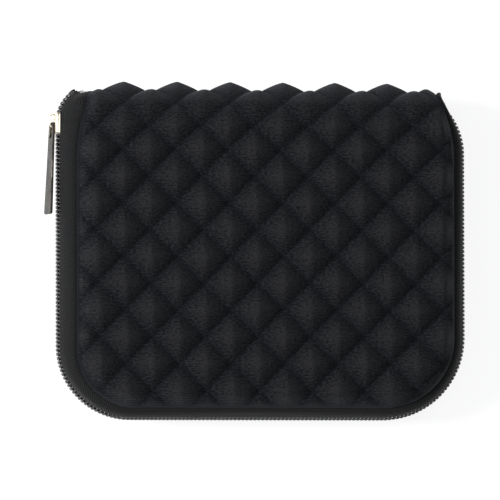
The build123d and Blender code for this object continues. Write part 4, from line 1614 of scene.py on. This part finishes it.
@dataclass
class NecklaceStraps:
    """Four suede straps with stitched edges, and the snap that closes each."""

    form: CaseForm
    count: int = 4
    thickness: float = 0.85 * MM
    cut_width: float = 10.4 * MM
    foot: float = 5.0 * MM
    snap_from_end: float = 5.5 * MM
    stitch_pitch: float = 2.2 * MM
    stitch_inset: float = 1.1 * MM

    def surface(self, low: Array, high: Array, h: Array, v: Array) -> Array:
        """Underside of a strap: rounded free end, foot pressed to the lining, a slight bow between."""
        y = low[1] + (high[1] - low[1]) * v
        to_end = high[1] - y
        half = (high[0] - low[0]) / 2
        corner = np.clip(1 - to_end / (half * 0.75), 0, 1)
        width = half * (1 - 0.30 * (1 - np.sqrt(np.clip(1 - corner ** 2, 0, 1))))
        x = (low[0] + high[0]) / 2 + width * h
        rest = low[2] + 0.10 * MM
        raised = (high[2] - self.thickness - rest) * (1 - ease((y - low[1] - self.foot * 0.6) / self.foot))
        bow = 0.12 * MM * np.sin(math.pi * v) * (1 - h ** 2)
        return np.stack(np.broadcast_arrays(x, y, rest + raised - bow), axis=-1)

    def build(self, finishes: Finishes) -> list[bpy.types.Object]:
        """Makes the straps, their stitches, and the snaps' caps and sockets.

        Args:
            finishes: The case's materials.

        Returns:
            The pieces.
        """
        pieces = []
        caps, sockets = [], []
        cap_low, cap_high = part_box("strap_snap_caps")
        socket_low, socket_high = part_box("strap_snap_sockets")
        h = np.linspace(-1, 1, 25)[None, :]
        v = np.linspace(0, 1, 81)[:, None]
        for index in range(1, self.count + 1):
            low, high = (np.array(corner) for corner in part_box(f"necklace_strap_{index}"))
            lower = self.surface(low, high, h, v)
            edge = 0.30 * MM * (h ** 10 + 0 * v)
            rounding = edge[..., None] * np.array([0, 0, 1])
            upper = lower + np.array([0, 0, self.thickness]) - rounding
            lower = lower + rounding
            cloth = np.stack(np.broadcast_arrays(lower[..., 0], lower[..., 1]), axis=-1)
            shape = closed_sheet(upper, lower, cloth)
            strap = make_piece(f"necklace_strap_suede_{index}", shape, finishes.suede)
            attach(strap, "lid")
            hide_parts(f"necklace_strap_{index}")
            pieces.append(strap)
            along = np.arange(2.0 * MM, high[1] - low[1] - 4 * MM, self.stitch_pitch) / (high[1] - low[1])
            share = 1 - 2 * self.stitch_inset / (high[0] - low[0])
            step = 0.62 * self.stitch_pitch / (high[1] - low[1])
            rows = []
            for edge_side in (-share, share):
                start = self.surface(low, high, np.full_like(along, edge_side), along)
                stop = self.surface(low, high, np.full_like(along, edge_side), along + step)
                rows.append(spindles(start, stop, np.tile([0.0, 0.0, -1.0], (len(along), 1)), 0.16 * MM))
            stitches = make_piece(f"strap_stitches_{index}", rows[0].joined(rows[1]), finishes.thread)
            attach(stitches, "lid")
            pieces.append(stitches)
            spot = np.array([(low[0] + high[0]) / 2, high[1] - self.snap_from_end, 0.0])
            r = (cap_high.y - cap_low.y) / 2
            z = cap_low.z
            dome = np.array([(0.0, z), (0.30, z + 0.02 * MM), (0.62, z + 0.10 * MM), (0.86, z + 0.26 * MM),
                             (0.97, z + 0.46 * MM), (1.0, z + 0.62 * MM), (0.97, cap_high.z),
                             (0.0, cap_high.z)])
            caps.append(lathe(dome * np.array([r, 1.0]), spot))
            z = socket_low.z
            ring = np.array([(0.0, z + 0.05 * MM), (0.45, z + 0.05 * MM), (0.55, z), (0.93, z),
                             (1.0, z + 0.15 * MM), (1.0, socket_high.z), (0.0, socket_high.z)])
            sockets.append(lathe(ring * np.array([r, 1.0]), spot))
        for name, node, shapes in (("snap_caps", "strap_snap_caps", caps),
                                   ("snap_sockets", "strap_snap_sockets", sockets)):
            piece = make_piece(name, shapes[0].joined(*shapes[1:]), finishes.nickel, sharp_angle=40)
            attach(piece, "lid")
            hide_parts(node)
            pieces.append(piece)
        return pieces


@dataclass
class EndDetails:
    """Bar tacks that close the zip's ends at the spine, and the stops on each coil row."""

    form: CaseForm
    tack_stitches: int = 9
    stop_length: float = 2.2 * MM

    def build_tacks(self, finishes: Finishes) -> bpy.types.Object:
        """Makes the tacks: upright rows of stitches from the tape to the quilt's corner, at both ends.

        Args:
            finishes: The case's materials.

        Returns:
            The tacks' piece.
        """
        form = self.form
        rise = np.linspace(-3.6, 3.6, self.tack_stitches) * MM
        starts, ends, lifts = [], [], []
        for x, y, side in ((form.spine_left - 2.4 * MM, form.spine_y + 11.6 * MM, -1),
                           (form.spine_right + 3.6 * MM, form.spine_y + 8.4 * MM, 1)):
            a = np.stack([np.full_like(rise, x), np.full_like(rise, y), form.mid_z + rise], axis=1)
            b = a + np.array([-side * 3.0 * MM, 0.25 * MM, 0.35 * MM])
            starts.append(a)
            ends.append(b)
            lifts.append(unit(np.tile([0.25 * side, 1.0, 0.0], (len(rise), 1))))
        shape = spindles(np.concatenate(starts), np.concatenate(ends), np.concatenate(lifts), 0.22 * MM)
        piece = make_piece("bar_tack_threads", shape, finishes.thread)
        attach(piece, "spine")
        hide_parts("spine_bar_tacks")
        return piece

    def build_stops(self, half: Half, finishes: Finishes) -> bpy.types.Object:
        """Makes one row's two stops: small rounded clips over the coil's end loops.

        Args:
            half: Which row.
            finishes: The case's materials.

        Returns:
            The stops' piece.
        """
        form, side = self.form, half.value
        t = np.linspace(-1, 1, 13)[:, None]
        close = np.sqrt(np.clip(1 - np.abs(t) ** 6, 0.03, 1))
        section = superellipse(16, 0.95 * MM, 1.35 * MM, 3.0)
        shapes = []
        for start in (0.4 * MM, form.marks[-1] - 0.4 * MM - self.stop_length):
            u = form.rim_at(start + (t + 1) / 2 * self.stop_length)[:, 0]
            spot, normal = form.rim(u)
            out = 0.75 * MM + section[None, :, 0] * close
            plan = spot[:, None, :] + normal[:, None, :] * out[..., None]
            z = form.mid_z + side * (1.75 * MM + section[None, :, 1] * close)
            rings = np.concatenate([plan, z[..., None]], axis=2)
            shapes.append(tube(rings if half is Half.BASE else rings[:, ::-1]))
        shape = shapes[0].joined(shapes[1])
        piece = make_piece(f"{half.body}_zip_end_stops", shape, finishes.gunmetal_and_painted_reflection, sharp_angle=60)
        form.bend(piece, half)
        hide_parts(f"{half.body}_zip_stops")
        return piece


# ---------------------------------------------------------------- studio and the whole


@dataclass
class Studio:
    """Glowing white table, soft lights and the camera."""

    distance: float = 2.8
    lens: float = 531.7
    turn_deg: float = 8.5
    lean_deg: float = 2.6
    roll_deg: float = -0.1
    target: tuple[float, float, float] = (-2.3 * MM, 0.15 * MM, 16.7 * MM)

    def build_floor(self) -> None:
        """Makes the table, which glows so that shadows on it stay faint."""
        work = NodeWork("floor_paint")
        tone = work.noise(work.coordinates(cloth=False), 3.0, 3.0)
        work.set(Roughness=0.9, Specular_IOR_Level=0.1)
        work.set(Emission_Color=(1.0, 1.0, 1.0, 1.0), Emission_Strength=0.8)
        paint = work.finish(work.ramp(tone, [(0.3, (0.27, 0.27, 0.27)), (0.7, (0.29, 0.29, 0.29))]))
        size = 6.0
        corner = np.array([(-size, -size, 0.0), (size, -size, 0.0), (size, size, 0.0), (-size, size, 0.0)])
        floor = make_piece("studio_floor", Shape(corner, np.array([[0, 1, 2, 3]])), paint, smooth=False)

    def add_light(self, name: str, place: tuple[float, float, float], size: float, watts: float) -> None:
        """Adds a square soft light that looks at the case.

        Args:
            name: The light's name.
            place: Where it hangs.
            size: Side of the square.
            watts: Its power.
        """
        data = bpy.data.lights.new(name, "AREA")
        data.shape, data.size, data.energy = "SQUARE", size, watts
        light = bpy.data.objects.new(name, data)
        light.location = place
        light.rotation_euler = (Vector(self.target) - Vector(place)).to_track_quat("-Z", "Y").to_euler()
        bpy.context.scene.collection.objects.link(light)

    def build(self) -> None:
        """Makes the floor, the lights, the surrounding light and the camera."""
        scene = bpy.context.scene
        scene.view_settings.view_transform = "Standard"
        self.build_floor()
        world = bpy.data.worlds.new("studio_air")
        world.use_nodes = True
        world.node_tree.nodes["Background"].inputs["Color"].default_value = (0.93, 0.96, 1.0, 1.0)
        world.node_tree.nodes["Background"].inputs["Strength"].default_value = 0.3
        scene.world = world
        self.add_light("key", (-1.08, 0.10, 0.80), 0.45, 26.0)
        self.add_light("top", (0.25, -0.1, 1.5), 1.4, 8.0)
        turn, lean = math.radians(self.turn_deg), math.radians(self.lean_deg)
        right = Vector((math.cos(turn), 0.0, math.sin(turn)))
        back = Vector((-math.sin(turn) * math.cos(lean), -math.sin(lean), math.cos(turn) * math.cos(lean)))
        right = Quaternion(back, math.radians(self.roll_deg)) @ right
        up = back.cross(right)
        data = bpy.data.cameras.new("camera")
        data.lens, data.sensor_width = self.lens, 36.0
        data.clip_start, data.clip_end = 0.01, 20.0
        camera = bpy.data.objects.new("camera", data)
        camera.matrix_world = Matrix((right, up, back)).transposed().to_4x4()
        camera.matrix_world.translation = Vector(self.target) + back * self.distance
        scene.collection.objects.link(camera)
        scene.camera = camera


def dress_frame(finishes: Finishes) -> None:
    """Gives the kept frame parts the case's finishes, by the record's slot of each."""
    by_slot = {
        "foam_knit": finishes.suede, "board": finishes.board, "velvet": finishes.velvet,
        "binding_tape": finishes.suede, "zip_tape": finishes.suede, "zip_coil": finishes.coil,
        "slider_metal": finishes.gunmetal_and_painted_reflection, "tab_metal": finishes.gunmetal_and_painted_reflection, "lining_cloth": finishes.suede,
        "thread": finishes.thread, "snap_metal": finishes.nickel,
    }
    slots = {part["node"]: part["material_slot"] for part in frame["record"]["subparts"]}
    for name, node in frame["nodes"].items():
        for holder in node.material_slots:
            holder.material = by_slot[slots[name]]


def main() -> None:
    """Builds the case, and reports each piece."""
    logging.basicConfig(level=logging.INFO, format="%(name)s %(message)s")
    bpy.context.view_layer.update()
    finishes = Finishes()
    form = CaseForm()
    dress_frame(finishes)
    pieces = []
    for half in Half:
        pieces.append(Quilt(form, half).build(finishes))
        zip_half = ZipHalf(form, half)
        pieces.append(zip_half.build_tape(finishes))
        pieces.extend(zip_half.build_coil(finishes))
        lining = Lining(form, half)
        pieces.append(lining.build_cloth(finishes))
        pieces.extend(lining.build_binding(finishes))
        pieces.append(EndDetails(form).build_stops(half, finishes))
    pieces.append(EndDetails(form).build_tacks(finishes))
    pieces.extend(RingRolls(form).build(finishes))
    pieces.extend(Dividers(form).build(finishes))
    pieces.extend(LidPocket(form).build(finishes))
    pieces.extend(NecklaceStraps(form).build(finishes))
    slider = Slider(form)
    pieces += [slider.build_body(finishes), slider.build_bridge(finishes), PullTab(form).build(finishes)]
    Studio().build()
    for piece in pieces:
        log.info("%s: %d points, %d faces", piece.name, len(piece.data.vertices), len(piece.data.polygons))


if __name__ == "__main__":
    main()
